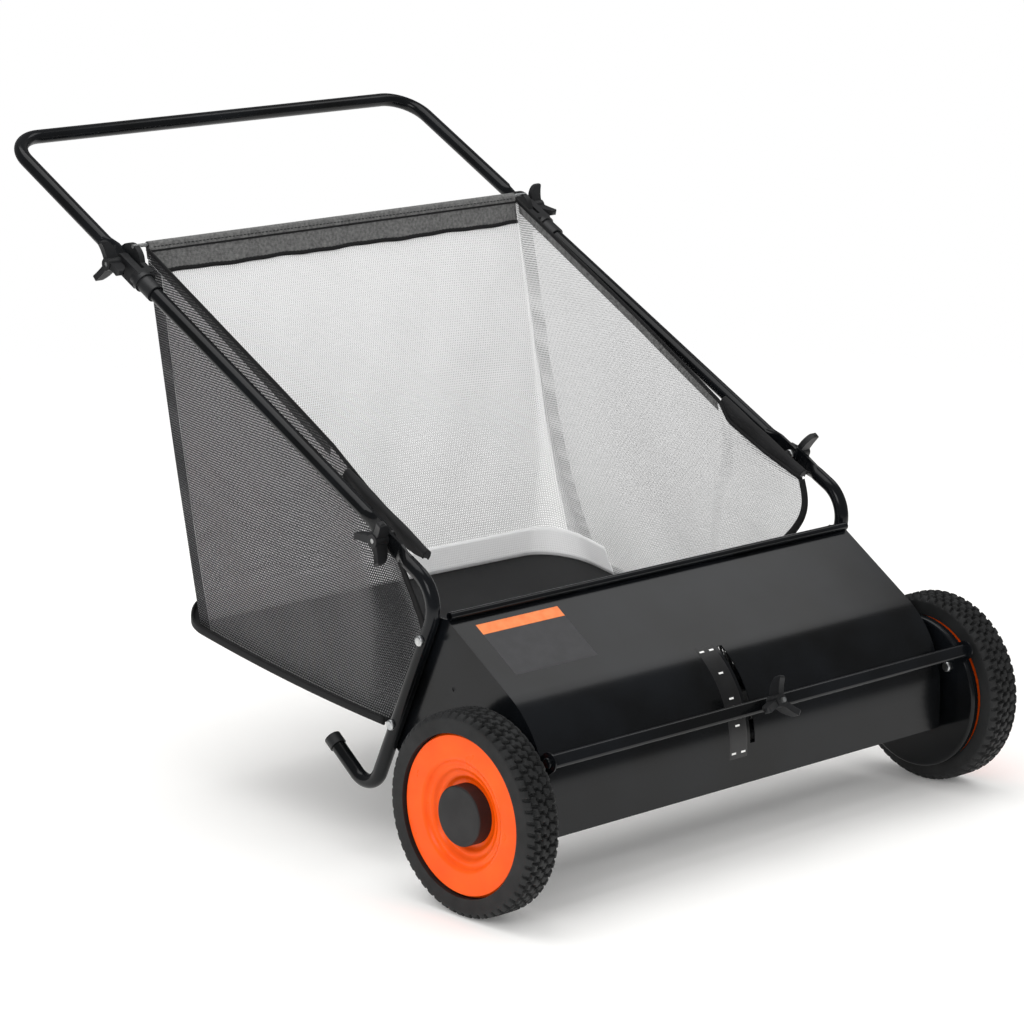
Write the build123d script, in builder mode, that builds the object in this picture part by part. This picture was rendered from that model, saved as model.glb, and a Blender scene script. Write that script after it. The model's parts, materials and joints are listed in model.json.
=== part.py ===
"""Push lawn sweeper: two geared wheels spin a brush under a curved cover, and a mesh bag hangs
from a folding handle behind it.

Frame: front towards -Y, +Z up, and +X to the right of someone who looks at the front. The origin is
on the floor under the middle of the whole machine. Side views are drawn in (y, z), measured back and up
from the wheel axle.
"""

import os
from math import acos, atan2, cos, degrees, hypot, pi, radians, sin, tan

from build123d import *

os.makedirs("parts", exist_ok=True)

# Wheels
TYRE_R = 120.0
TYRE_W = 48.0
TYRE_H = 24.0
TRACK = 792.0
RIM_WALL = 3.0
RIM_FACE_INSET = 4.0
RIM_INNER_INSET = 2.0
RIM_STEP_D = 5.0
RIM_STEP_W = 5.0
RIM_FLAT_R = 66.0
RIM_RIDGE_R = 55.0
RIM_WELL_R = 45.0
RIM_ROUND = 5.0
HUB_CAP_R = 35.5
HUB_CAP_WALL = 2.0
HUB_CAP_PROUD = 4.0
AXLE_R = 6.0
BUSH_R = 10.0
HUB_R = 16.0
TYRE_SHOULDER = 9.0
CLIP_T = 2.0
CLIP_R = 11.0

# Gaps across the machine, from each piece to the next one inside it
WHEEL_TO_COVER = 34.0
WHEEL_TO_DISC = 16.0
HANDLE_TO_BAG = 27.0

# Gear pair in each wheel: a ring of inner teeth in the rim and a pinion on the brush shaft
MODULE = 3.0
RING_TEETH = 52
PINION_TEETH = 12
GEAR_W = 12.0
RING_ADDENDUM = 0.6
PINION_ADDENDUM = 0.8
DEDENDUM = 1.0
BACKLASH = 0.6
PRESSURE_ANGLE = 20.0

# Brush
BRUSH_ANGLE = 12.0
BRUSH_R = 86.0
SHAFT_R = 6.0
BEARING_WALL = 5.0
BEARING_FLANGE = 4.0
STRIP_COUNT = 6
STRIP_END_GAP = 20.0
STRIP_ROOT_W = 7.0
STRIP_TIP_W = 16.0
RAIL_R = 40.0
RAIL_H = 12.0
RAIL_WALL = 1.5
SPIDER_COUNT = 4
SPIDER_T = 3.0
SPIDER_HUB_R = 12.0
SPIDER_HUB_L = 18.0
SPIDER_HOLE_R = 6.0
PINION_HUB_R = 11.0
DRIVE_PIN_R = 1.6

# Housing sheet metal
COVER_R = 131.0
COVER_SLOPE = 33.5
COVER_FRONT_Y = -58.0
COVER_BOTTOM_Z = -33.0
COVER_REAR = (107.8, 195.2)
COVER_BEAD_R = 5.0
COVER_LIP = 10.0
SHEET = 1.2
PLATE_T = 1.5
FLANGE_W = 14.0
PLATE_BOTTOM_Z = -58.0
PLATE_FOOT_HALF = 55.0
PLATE_REAR_MARGIN = 12.0
RAIL_SIZE = 12.0
SPARE_HOLE_R = 3.0
SPARE_HOLE = (96.0, 114.0)

# Tubes of the frame and the handle
TUBE_R = 9.0
TUBE_WALL = 1.5
HANDLE_OFFSET = 3.0
FLAT_T = 4.0
FLAT_W = 22.0
FLAT_LENGTH = 26.0
FLAT_TAPER = 20.0
LOWER_JOINT = (205.0, 276.0)
HANDLE_ANGLE = 27.9
LOWER_TUBE_L = 567.0
UPPER_TUBE_L = 276.0
HANDLE_BEND = 48.0
FRAME_KNEE = (108.0, 225.0)
FRAME_ANKLE = (232.0, -42.0)
FRAME_TOE = (304.0, 13.0)
KNEE_BEND = 45.0
ANKLE_BEND = 28.0
FOOT_CAP_L = 14.0
FOOT_CAP_T = 1.5
FRAME_BOLT_UPPER_Z = 168.0
FRAME_BOLT_LOWER_Z = 56.0
TIE_ROD_R = 5.0

# Fasteners
BOLT_R = 3.0
BOLT_HEAD_R = 6.5
BOLT_HEAD_H = 4.0
BOLT_HEAD_ROUND = 2.4
BOLT_END = 4.0

# Hinge clamps between the lower tubes and the upper handle
CLAMP_R = 11.5
CLAMP_BASE = 30.0
CLAMP_BASE_L = 10.0
CLAMP_RING_R = 13.5
CLAMP_RING_W = 6.0
CLAMP_SLEEVE_L = 40.0
CLAMP_FLOOR = 4.0
TONGUE_OFFSET = 4.3
TONGUE_HALF_W = 10.0
EAR_R = 23.0
EAR_T = 8.0

# Three-armed clamping knobs
KNOB_HUB_R = 8.0
KNOB_HUB_H = 20.0
KNOB_ARM_L = 30.0
KNOB_ARM_T = 8.0
KNOB_ARM_RISE = 16.0
KNOB_ARM_H = 9.0
KNOB_ARM_ROOT = 4.0
KNOB_ARM_DIP = (18.0, 4.8)
KNOB_ARM_HOLLOW = (15.0, 20.0)
KNOB_CROWN = 1.0
KNOB_TIP_ROUND = 3.0
LOWER_KNOB_TURN = 5.0
UPPER_KNOB_TURN = 75.0
HEIGHT_KNOB_TURN = 75.0

# Height adjuster
DISC_R = 98.0
DISC_T = 1.6
DISC_RIM_D = 10.0
DISC_BEND = 4.0
DISC_BOLT = (-55.0, 42.5)
AXLE_BOSS_R = 14.0
PIVOT_WALL = 3.5
PIVOT_FLANGE = 3.0
BAR_POS = (-82.0, 68.5)
BAR_H = 17.0
BAR_T = 9.0
LUG_R = 12.0
BOLT_INNER_END = 106.0
HEIGHT_DOWN = 18.0
HEIGHT_UP = 38.0
BAR_END_GRIP = 22.0
SLOT_SIDE_GAP = 1.0
SLOT_END_GAP = 3.0

# Mesh bag
CLOTH_T = 2.0
BAG_TOP_REAR = (697.0, 561.0)
BAG_TOP_MIDDLE = (304.0, 343.0)
BAG_TOP_FRONT = (174.0, 251.0)
BAG_FRONT_BULGE = (203.0, 130.0)
BAG_BOTTOM_FRONT = (240.0, 37.0)
BAG_BOTTOM_SAG = (409.0, 50.0)
BAG_BOTTOM_REAR = (617.0, 100.0)
HEM_H = 36.0
HEM_T = 2.0
ROD_R = 2.5
FLAP_FRONT = -45.0
FLAP_REAR = 117.0
FLAP_TOP = 9.0
FLAP_BOTTOM = -22.0
FLAP_SLANT = 35.0
FLAP_ROD_R = 3.0
FLAP_ROD_LIFT = 5.0
FLAP_CAP_R = 4.5
FLAP_CAP_L = 8.0

# Clearances: RUN round turning shafts, GAP between moving faces, SEAT between fixed faces
RUN = 0.06
GAP = 0.4
SEAT = 0.1

# Places worked out from the sizes above
WHEEL_X = TRACK / 2
TYRE_OUT = WHEEL_X + TYRE_W / 2
TYRE_IN = WHEEL_X - TYRE_W / 2
RIM_FACE = TYRE_OUT - RIM_FACE_INSET
COVER_HALF = TYRE_IN - WHEEL_TO_COVER
DISC_X = TYRE_IN - WHEEL_TO_DISC
HANDLE_X = COVER_HALF + HANDLE_OFFSET
BAG_HALF = HANDLE_X - HANDLE_TO_BAG
STRIP_HALF = COVER_HALF - STRIP_END_GAP
AXLE_Z = TYRE_R
RIM_R = TYRE_R - TYRE_H
GEAR_CENTRES = (RING_TEETH - PINION_TEETH) * MODULE / 2
BRUSH_POS = (
    GEAR_CENTRES * cos(radians(BRUSH_ANGLE)),
    GEAR_CENTRES * sin(radians(BRUSH_ANGLE)),
)
PLATE_X = COVER_HALF + SEAT
PLATE_OUT = PLATE_X + PLATE_T
FRAME_X = PLATE_OUT + SEAT + TUBE_R
ALONG = (cos(radians(HANDLE_ANGLE)), sin(radians(HANDLE_ANGLE)))
ABOVE = (-ALONG[1], ALONG[0])


def on_handle(distance, lift=0.0):
    """Side-view point at a distance back along the handle from the lower joint, lifted off it."""
    y = LOWER_JOINT[0] + distance * ALONG[0] + lift * ABOVE[0]
    z = LOWER_JOINT[1] + distance * ALONG[1] + lift * ABOVE[1]
    return (y, z)


UPPER_JOINT = on_handle(LOWER_TUBE_L)
HANDLE_END = on_handle(LOWER_TUBE_L + UPPER_TUBE_L)
AXLE_Y = (TYRE_R - HANDLE_END[0] - TUBE_R) / 2


def space(x, point):
    """Point in space from its distance across and its side-view place."""
    return (x, AXLE_Y + point[0], AXLE_Z + point[1])


def side(x):
    """Side-view plane at x: local x runs back from the axle, local y runs up, normal is +X."""
    return Plane(origin=(x, AXLE_Y, AXLE_Z), x_dir=(0, 1, 0), z_dir=(1, 0, 0))


def across(x, point):
    """Plane facing +X with its centre on a side-view point."""
    return Plane(origin=space(x, point), x_dir=(0, 1, 0), z_dir=(1, 0, 0))


def inward(x, point):
    """Plane facing -X with its centre on a side-view point."""
    return Plane(origin=space(x, point), x_dir=(0, 1, 0), z_dir=(-1, 0, 0))


def facing(x, point, direction):
    """Plane whose normal is a side-view direction, with local x across the machine."""
    return Plane(origin=space(x, point), x_dir=(1, 0, 0), z_dir=(0, direction[0], direction[1]))


def toward(start, end):
    """Unit side-view direction from one point to another."""
    length = hypot(end[0] - start[0], end[1] - start[1])
    return ((end[0] - start[0]) / length, (end[1] - start[1]) / length)


def moved(point, direction, distance):
    """Side-view point moved along a direction."""
    return (point[0] + direction[0] * distance, point[1] + direction[1] * distance)


def save(builder, node):
    """Name a finished piece and write it."""
    builder.part.label = node
    export_step(builder.part, f"parts/{node}.step")


def save_pair(right, name):
    """Write a right-hand piece and its mirror image on the left."""
    save(right, f"right_{name}")
    with BuildPart() as left:
        mirror(right.part, about=Plane.YZ)
    save(left, f"left_{name}")


def save_both(right, node):
    """Write a right-hand piece and its mirror image as one node of separate solids."""
    with BuildPart() as both:
        add(right.part)
        mirror(right.part, about=Plane.YZ)
    save(both, node)


def bolt(seat, grip):
    """Round-headed bolt: its head stands on the seat plane and its shank runs back from it."""
    with BuildPart() as made:
        with BuildSketch(seat):
            Circle(BOLT_HEAD_R)
        extrude(amount=BOLT_HEAD_H)
        fillet(made.edges().sort_by(Axis(seat.origin, seat.z_dir))[-1], BOLT_HEAD_ROUND)
        with BuildSketch(seat):
            Circle(BOLT_R)
        extrude(amount=-grip)
    return made.part


def flat_end(x_tube, x_flat, joint, away, half_w):
    """Flattened tube end: a taper from the round tube and a flat eye with its bolt hole."""
    round_at = moved(joint, away, FLAT_LENGTH + FLAT_TAPER)
    flat_at = moved(joint, away, FLAT_LENGTH)
    with BuildPart() as end:
        with BuildSketch(facing(x_tube, round_at, away)):
            Circle(TUBE_R)
        with BuildSketch(facing(x_flat, flat_at, away)):
            Rectangle(FLAT_T, 2 * half_w)
        loft()
        with BuildSketch(side(x_flat - FLAT_T / 2)):
            with BuildLine():
                across_way = (-away[1], away[0])
                corners = [
                    moved(flat_at, across_way, half_w),
                    moved(joint, across_way, half_w),
                    moved(joint, away, -half_w),
                    moved(joint, across_way, -half_w),
                    moved(flat_at, across_way, -half_w),
                ]
                Line(corners[0], corners[1])
                ThreePointArc(corners[1], corners[2], corners[3])
                Line(corners[3], corners[4])
                Line(corners[4], corners[0])
            make_face()
            with Locations(joint):
                Circle(BOLT_R + RUN, mode=Mode.SUBTRACT)
        extrude(amount=FLAT_T)
    return end.part


def knob(seat, turn):
    """Clamping knob on a seat plane: a hub with a bore and three arms that sweep up and out."""
    with BuildPart() as made:
        with BuildSketch(seat):
            Circle(KNOB_HUB_R)
        extrude(amount=KNOB_HUB_H)
        for arm in range(3):
            out = seat.x_dir.rotate(Axis((0, 0, 0), seat.z_dir), turn + arm * 120)
            blade = Plane(origin=seat.origin, x_dir=out, z_dir=out.cross(seat.z_dir))
            with BuildSketch(blade):
                with BuildLine():
                    inner_low = (0, KNOB_ARM_ROOT)
                    inner_high = (0, KNOB_HUB_H - KNOB_CROWN)
                    tip_low = (KNOB_ARM_L, KNOB_ARM_RISE)
                    tip_high = (KNOB_ARM_L, KNOB_ARM_RISE + KNOB_ARM_H)
                    Line(inner_high, inner_low)
                    ThreePointArc(inner_low, KNOB_ARM_DIP, tip_low)
                    Line(tip_low, tip_high)
                    ThreePointArc(tip_high, KNOB_ARM_HOLLOW, inner_high)
                make_face()
            extrude(amount=KNOB_ARM_T / 2, both=True)
            tip = made.faces().sort_by(Axis(seat.origin, out))[-1]
            fillet(tip.edges(), KNOB_TIP_ROUND)
        with BuildSketch(seat):
            Circle(BOLT_R + RUN)
        extrude(amount=KNOB_HUB_H + KNOB_ARM_RISE, mode=Mode.SUBTRACT)
    return made.part


def cover_line(inset):
    """Corner points of the cover's side view, moved in from its outer skin."""
    slope = radians(COVER_SLOPE)
    centre_y = COVER_FRONT_Y + COVER_R
    offset = (COVER_REAR[1] * cos(slope) - COVER_REAR[0] * sin(slope)) - COVER_R
    centre_z = (offset + centre_y * sin(slope)) / cos(slope)
    radius = COVER_R - inset
    half = (slope - pi / 2) / 2
    rear = (COVER_REAR[0] + inset * sin(slope), COVER_REAR[1] - inset * cos(slope))
    start = (centre_y - radius * sin(slope), centre_z + radius * cos(slope))
    middle = (centre_y - radius * cos(half), centre_z - radius * sin(half))
    end = (centre_y - radius, centre_z)
    bottom = (centre_y - radius, COVER_BOTTOM_Z)
    return rear, start, middle, end, bottom


def sheet_band(outer, inner):
    """Face between two inset cover lines: one bent sheet seen from the side."""
    with BuildSketch() as band:
        with BuildLine():
            Line(outer[0], outer[1])
            ThreePointArc(*outer[1:4])
            Line(outer[3], outer[4])
            Line(outer[4], inner[4])
            Line(inner[4], inner[3])
            ThreePointArc(inner[3], inner[2], inner[1])
            Line(inner[1], inner[0])
            Line(inner[0], outer[0])
        make_face()
    return band.sketch


# Cover: one bent sheet with a rolled rear edge, a turned-in lower lip and the slot of the height bolt
SKIN = cover_line(0)
INNER_SKIN = cover_line(SHEET)
BOLT_WAY = toward(BRUSH_POS, BAR_POS)
BOLT_ANGLE = degrees(atan2(BOLT_WAY[1], BOLT_WAY[0]))
BAR_REACH = hypot(BAR_POS[0] - BRUSH_POS[0], BAR_POS[1] - BRUSH_POS[1])
FLANGE_END = COVER_HALF - FLANGE_W
LIP = moved(INNER_SKIN[4], (1, 0), COVER_LIP)
slope_out = (-sin(radians(COVER_SLOPE)), cos(radians(COVER_SLOPE)))
bead_middle = moved(SKIN[0], slope_out, COVER_BEAD_R - SHEET / 2)
slot_half = BOLT_R + SLOT_SIDE_GAP
slot_end = degrees((BOLT_R + SLOT_END_GAP) / BAR_REACH)
slot_first = radians(BOLT_ANGLE - HEIGHT_UP - slot_end)
slot_last = radians(BOLT_ANGLE + HEIGHT_DOWN + slot_end)

with BuildPart() as cover:
    with BuildSketch(side(-COVER_HALF)):
        add(sheet_band(SKIN, INNER_SKIN))
    extrude(amount=2 * COVER_HALF)
    with BuildSketch(across(-COVER_HALF, bead_middle)):
        Circle(COVER_BEAD_R)
        Circle(COVER_BEAD_R - SHEET, mode=Mode.SUBTRACT)
    extrude(amount=2 * COVER_HALF)
    with BuildSketch(side(-FLANGE_END + GAP)):
        Polygon(SKIN[4], LIP, moved(LIP, (0, 1), SHEET), moved(SKIN[4], (0, 1), SHEET))
    extrude(amount=2 * (FLANGE_END - GAP))
    with BuildSketch(side(-slot_half)):
        Polygon(
            BRUSH_POS,
            moved(BRUSH_POS, (cos(slot_first), sin(slot_first)), BAR_REACH),
            moved(BRUSH_POS, (cos(slot_last), sin(slot_last)), BAR_REACH),
        )
    extrude(amount=2 * slot_half, mode=Mode.SUBTRACT)
save(cover, "cover")

# Rear rail: a square tube under the cover's back edge, from flange to flange
rail_way = toward(SKIN[0], SKIN[1])
rail_down = (-rail_way[1], rail_way[0])
rail_edge = moved(INNER_SKIN[0], rail_way, RAIL_SIZE / 2)
rail_middle = moved(rail_edge, rail_down, RAIL_SIZE / 2 + SEAT)
rail_hollow = RAIL_SIZE - 2 * SHEET
rail_half = FLANGE_END - SEAT
with BuildPart() as cover_rear_rail:
    with BuildSketch(across(-rail_half, rail_middle)):
        Rectangle(RAIL_SIZE, RAIL_SIZE, rotation=COVER_SLOPE)
        Rectangle(rail_hollow, rail_hollow, rotation=COVER_SLOPE, mode=Mode.SUBTRACT)
    extrude(amount=2 * rail_half)
save(cover_rear_rail, "cover_rear_rail")

# Places on the frame tubes
LEG_WAY = toward(FRAME_KNEE, FRAME_ANKLE)
TOP_WAY = toward(LOWER_JOINT, FRAME_KNEE)
TOE_WAY = toward(FRAME_ANKLE, FRAME_TOE)


def on_leg(z, back=0.0):
    """Side-view point of the frame leg's centre line at height z, moved back from it."""
    y = FRAME_KNEE[0] + (z - FRAME_KNEE[1]) * LEG_WAY[0] / LEG_WAY[1]
    return (y + back, z)


UPPER_BOLT = on_leg(FRAME_BOLT_UPPER_Z)
LOWER_BOLT = on_leg(FRAME_BOLT_LOWER_Z)

# Side plates: a flat web beside the cover's end, with a flange turned in under the cover
FLANGE_TOP = cover_line(SHEET + SEAT)
FLANGE_UNDER = cover_line(SHEET + SEAT + PLATE_T)
BEARING_R = SHAFT_R + BEARING_WALL
with BuildPart() as right_side_plate:
    with BuildSketch(side(PLATE_X)):
        with BuildLine():
            Line(SKIN[0], SKIN[1])
            ThreePointArc(*SKIN[1:4])
            Line(SKIN[3], SKIN[4])
            Polyline(
                SKIN[4],
                (BRUSH_POS[0] - PLATE_FOOT_HALF, PLATE_BOTTOM_Z),
                (BRUSH_POS[0] + PLATE_FOOT_HALF, PLATE_BOTTOM_Z),
                on_leg(FRAME_BOLT_LOWER_Z - 2 * PLATE_REAR_MARGIN, PLATE_REAR_MARGIN),
                on_leg(SKIN[0][1], PLATE_REAR_MARGIN),
                SKIN[0],
            )
        make_face()
        with Locations(BRUSH_POS):
            Circle(BEARING_R + SEAT, mode=Mode.SUBTRACT)
        with Locations(SPARE_HOLE):
            Circle(SPARE_HOLE_R, mode=Mode.SUBTRACT)
        with Locations(UPPER_BOLT, LOWER_BOLT):
            Circle(BOLT_R + SEAT, mode=Mode.SUBTRACT)
    extrude(amount=PLATE_T)
    with BuildSketch(side(PLATE_X)):
        add(sheet_band(FLANGE_TOP, FLANGE_UNDER))
    extrude(amount=-FLANGE_W)
save_pair(right_side_plate, "side_plate")

# Frame tubes: flat eye at the handle joint, knee, leg along the side plate, and a turned-up foot
HANDLE_EYE_X = HANDLE_X + FLAT_T / 2
FRAME_EYE_X = HANDLE_EYE_X + FLAT_T + GAP
frame_top = moved(LOWER_JOINT, TOP_WAY, FLAT_LENGTH + FLAT_TAPER)
frame_eye = flat_end(FRAME_X, FRAME_EYE_X, LOWER_JOINT, TOP_WAY, FLAT_W / 2)
with BuildPart() as right_frame_tube:
    with BuildLine():
        FilletPolyline(
            space(FRAME_X, frame_top),
            space(FRAME_X, FRAME_KNEE),
            space(FRAME_X, FRAME_ANKLE),
            space(FRAME_X, FRAME_TOE),
            radius=[KNEE_BEND, ANKLE_BEND],
        )
    with BuildSketch(facing(FRAME_X, frame_top, TOP_WAY)):
        Circle(TUBE_R)
        Circle(TUBE_R - TUBE_WALL, mode=Mode.SUBTRACT)
    sweep()
    add(frame_eye)
    with BuildSketch(side(FRAME_X - 2 * TUBE_R)):
        with Locations(UPPER_BOLT, LOWER_BOLT):
            Circle(BOLT_R + SEAT)
    extrude(amount=4 * TUBE_R, mode=Mode.SUBTRACT)
save_pair(right_frame_tube, "frame_tube")

# Foot caps on the open tube ends
cap_end = facing(FRAME_X, moved(FRAME_TOE, TOE_WAY, FOOT_CAP_T), TOE_WAY)
with BuildPart() as right_foot_cap:
    with BuildSketch(cap_end):
        Circle(TUBE_R + FOOT_CAP_T)
    extrude(amount=-FOOT_CAP_L)
    fillet(right_foot_cap.edges().group_by(Axis(cap_end.origin, cap_end.z_dir))[-1], FOOT_CAP_T / 2)
    with BuildSketch(facing(FRAME_X, moved(FRAME_TOE, TOE_WAY, SEAT), TOE_WAY)):
        Circle(TUBE_R + SEAT)
    extrude(amount=-FOOT_CAP_L, mode=Mode.SUBTRACT)
save_both(right_foot_cap, "foot_caps")

# Frame bolts through the tube and the side plate
frame_bolt_seat = FRAME_X + TUBE_R + SEAT
frame_bolt_grip = frame_bolt_seat - PLATE_X + BOLT_END
upper_bolt = bolt(across(frame_bolt_seat, UPPER_BOLT), frame_bolt_grip)
lower_bolt = bolt(across(frame_bolt_seat, LOWER_BOLT), frame_bolt_grip)
with BuildPart() as right_frame_bolts:
    add(upper_bolt)
    add(lower_bolt)
save_both(right_frame_bolts, "frame_bolts")

# Tie rod between the lower frame bolts: it holds the side plates apart behind the brush
tie_half = PLATE_X - BOLT_END - SEAT
with BuildPart() as tie_rod:
    with BuildSketch(across(-tie_half, LOWER_BOLT)):
        Circle(TIE_ROD_R)
    extrude(amount=2 * tie_half)
save(tie_rod, "tie_rod")

# Pivot bolts and knobs of the lower handle joint
LOWER_STACK_IN = HANDLE_EYE_X - FLAT_T / 2 - GAP
LOWER_STACK_OUT = FRAME_EYE_X + FLAT_T / 2
lower_pivot = bolt(inward(LOWER_STACK_IN, LOWER_JOINT), LOWER_STACK_OUT + KNOB_HUB_H - LOWER_STACK_IN)
with BuildPart() as right_lower_pivot:
    add(lower_pivot)
save_both(right_lower_pivot, "lower_pivot_bolts")

lower_knob = knob(across(LOWER_STACK_OUT + GAP, LOWER_JOINT), LOWER_KNOB_TURN)
with BuildPart() as right_lower_knob:
    add(lower_knob)
save_pair(right_lower_knob, "lower_knob")

# Brush shaft bearings: flanged bushes in the side plates, long enough to carry the adjuster plates
BEARING_OUT = DISC_X + DISC_T + PIVOT_FLANGE
with BuildPart() as right_shaft_bearing:
    with BuildSketch(across(PLATE_X - BEARING_FLANGE, BRUSH_POS)):
        Circle(BEARING_R + BEARING_FLANGE)
    extrude(amount=BEARING_FLANGE)
    with BuildSketch(across(PLATE_X - BEARING_FLANGE, BRUSH_POS)):
        Circle(BEARING_R)
    extrude(amount=BEARING_OUT - PLATE_X + BEARING_FLANGE)
    with BuildSketch(across(PLATE_X - BEARING_FLANGE, BRUSH_POS)):
        Circle(SHAFT_R + RUN)
    extrude(amount=BEARING_OUT - PLATE_X + BEARING_FLANGE, mode=Mode.SUBTRACT)
save_both(right_shaft_bearing, "shaft_bearings")

# Lower handle tubes: flat eye at the frame, straight tube up to the hinge clamp
tube_start = FLAT_LENGTH + FLAT_TAPER
tube_end = LOWER_TUBE_L - CLAMP_BASE - CLAMP_FLOOR
handle_eye = flat_end(HANDLE_X, HANDLE_EYE_X, LOWER_JOINT, ALONG, FLAT_W / 2)
with BuildPart() as right_lower_tube:
    with BuildSketch(facing(HANDLE_X, on_handle(tube_start), ALONG)):
        Circle(TUBE_R)
        Circle(TUBE_R - TUBE_WALL, mode=Mode.SUBTRACT)
    extrude(amount=tube_end - tube_start)
    add(handle_eye)
save_pair(right_lower_tube, "lower_handle_tube")

# Hinge clamps: a sleeve on the tube end, a cheek outside and an ear inside the upper handle's tongue
TONGUE_X = HANDLE_X - TONGUE_OFFSET
EAR_OUT = TONGUE_X - FLAT_T / 2 - GAP
EAR_IN = EAR_OUT - EAR_T
CHEEK_IN = TONGUE_X + FLAT_T / 2 + GAP
CHEEK_OUT = HANDLE_X + TUBE_R
BACK_WAY = toward(BAG_BOTTOM_REAR, BAG_TOP_REAR)
BACK_OUT = (BACK_WAY[1], -BACK_WAY[0])
ROD_POS = moved(BAG_TOP_REAR, BACK_OUT, CLOTH_T / 2)
clamp_top = LOWER_TUBE_L - CLAMP_BASE
arm_length = CLAMP_BASE + CLAMP_BASE_L / 2
arm_middle = on_handle(LOWER_TUBE_L - arm_length / 2)
with BuildPart() as right_hinge_clamp:
    with BuildSketch(facing(HANDLE_X, on_handle(clamp_top - CLAMP_SLEEVE_L), ALONG)):
        Circle(CLAMP_R)
    extrude(amount=CLAMP_SLEEVE_L)
    with BuildSketch(facing(HANDLE_X, on_handle(clamp_top - CLAMP_BASE_L - CLAMP_RING_W), ALONG)):
        Circle(CLAMP_RING_R)
    extrude(amount=CLAMP_RING_W)
    with BuildSketch(facing((EAR_IN + CHEEK_OUT) / 2, on_handle(clamp_top - CLAMP_BASE_L), ALONG)):
        Rectangle(CHEEK_OUT - EAR_IN, 2 * CLAMP_R)
    extrude(amount=CLAMP_BASE_L)
    with BuildSketch(side(CHEEK_IN)):
        with Locations(arm_middle):
            SlotCenterToCenter(arm_length, 2 * CLAMP_R, rotation=HANDLE_ANGLE)
    extrude(amount=CHEEK_OUT - CHEEK_IN)
    with BuildSketch(side(EAR_IN)):
        with Locations(arm_middle):
            SlotCenterToCenter(arm_length, 2 * CLAMP_R, rotation=HANDLE_ANGLE)
        with Locations(UPPER_JOINT):
            Circle(EAR_R)
        with Locations(on_handle(LOWER_TUBE_L, -CLAMP_R - EAR_R)):
            Rectangle(4 * EAR_R, 2 * EAR_R, rotation=HANDLE_ANGLE, mode=Mode.SUBTRACT)
        with Locations(ROD_POS):
            Circle(ROD_R + SEAT, mode=Mode.SUBTRACT)
    extrude(amount=EAR_T)
    with BuildSketch(side(EAR_IN)):
        with Locations(UPPER_JOINT):
            Circle(BOLT_R + SEAT)
    extrude(amount=CHEEK_OUT - EAR_IN, mode=Mode.SUBTRACT)
    with BuildSketch(facing(HANDLE_X, on_handle(tube_end + SEAT), ALONG)):
        Circle(TUBE_R + SEAT)
    extrude(amount=-CLAMP_SLEEVE_L, mode=Mode.SUBTRACT)
save_pair(right_hinge_clamp, "hinge_clamp")

# Pivot bolts and knobs of the upper handle joint
upper_pivot = bolt(inward(EAR_IN - SEAT, UPPER_JOINT), CHEEK_OUT + KNOB_HUB_H - EAR_IN)
with BuildPart() as right_upper_pivot:
    add(upper_pivot)
save_both(right_upper_pivot, "upper_pivot_bolts")

upper_knob = knob(across(CHEEK_OUT + GAP, UPPER_JOINT), UPPER_KNOB_TURN)
with BuildPart() as right_upper_knob:
    add(upper_knob)
save_pair(right_upper_knob, "upper_knob")

# Upper handle: one tube bent to a U, with a flat tongue at each end
upper_start = on_handle(LOWER_TUBE_L + FLAT_LENGTH + FLAT_TAPER)
tongue = flat_end(HANDLE_X, TONGUE_X, UPPER_JOINT, ALONG, TONGUE_HALF_W)
with BuildPart() as upper_handle:
    with BuildLine():
        FilletPolyline(
            space(HANDLE_X, upper_start),
            space(HANDLE_X, HANDLE_END),
            space(-HANDLE_X, HANDLE_END),
            space(-HANDLE_X, upper_start),
            radius=HANDLE_BEND,
        )
    with BuildSketch(facing(HANDLE_X, upper_start, ALONG)):
        Circle(TUBE_R)
        Circle(TUBE_R - TUBE_WALL, mode=Mode.SUBTRACT)
    sweep()
    add(tongue)
    mirror(tongue, about=Plane.YZ)
save(upper_handle, "upper_handle")

# Bag side panels: a straight top edge, a bulging front edge and a sagging lower edge
HEM_R = ROD_R + SEAT + HEM_T
panel_top = moved(BAG_TOP_REAR, BACK_WAY, -HEM_R - SEAT)
with BuildPart() as right_bag_panel:
    with BuildSketch(side(BAG_HALF - CLOTH_T)):
        with BuildLine():
            Polyline(BAG_BOTTOM_REAR, panel_top, BAG_TOP_MIDDLE, BAG_TOP_FRONT)
            ThreePointArc(BAG_TOP_FRONT, BAG_FRONT_BULGE, BAG_BOTTOM_FRONT)
            ThreePointArc(BAG_BOTTOM_FRONT, BAG_BOTTOM_SAG, BAG_BOTTOM_REAR)
        make_face()
    extrude(amount=CLOTH_T)
save_pair(right_bag_panel, "bag_panel")

# Bag back panel, behind the side panels, from the lower edge up to the hem
back_foot = moved(BAG_BOTTOM_REAR, BACK_OUT, SEAT)
back_head = moved(panel_top, BACK_OUT, SEAT)
with BuildPart() as bag_back_panel:
    with BuildSketch(side(-BAG_HALF)):
        Polygon(
            back_foot,
            back_head,
            moved(back_head, BACK_OUT, CLOTH_T),
            moved(back_foot, BACK_OUT, CLOTH_T),
        )
    extrude(amount=2 * BAG_HALF)
save(bag_back_panel, "bag_back_panel")

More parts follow.
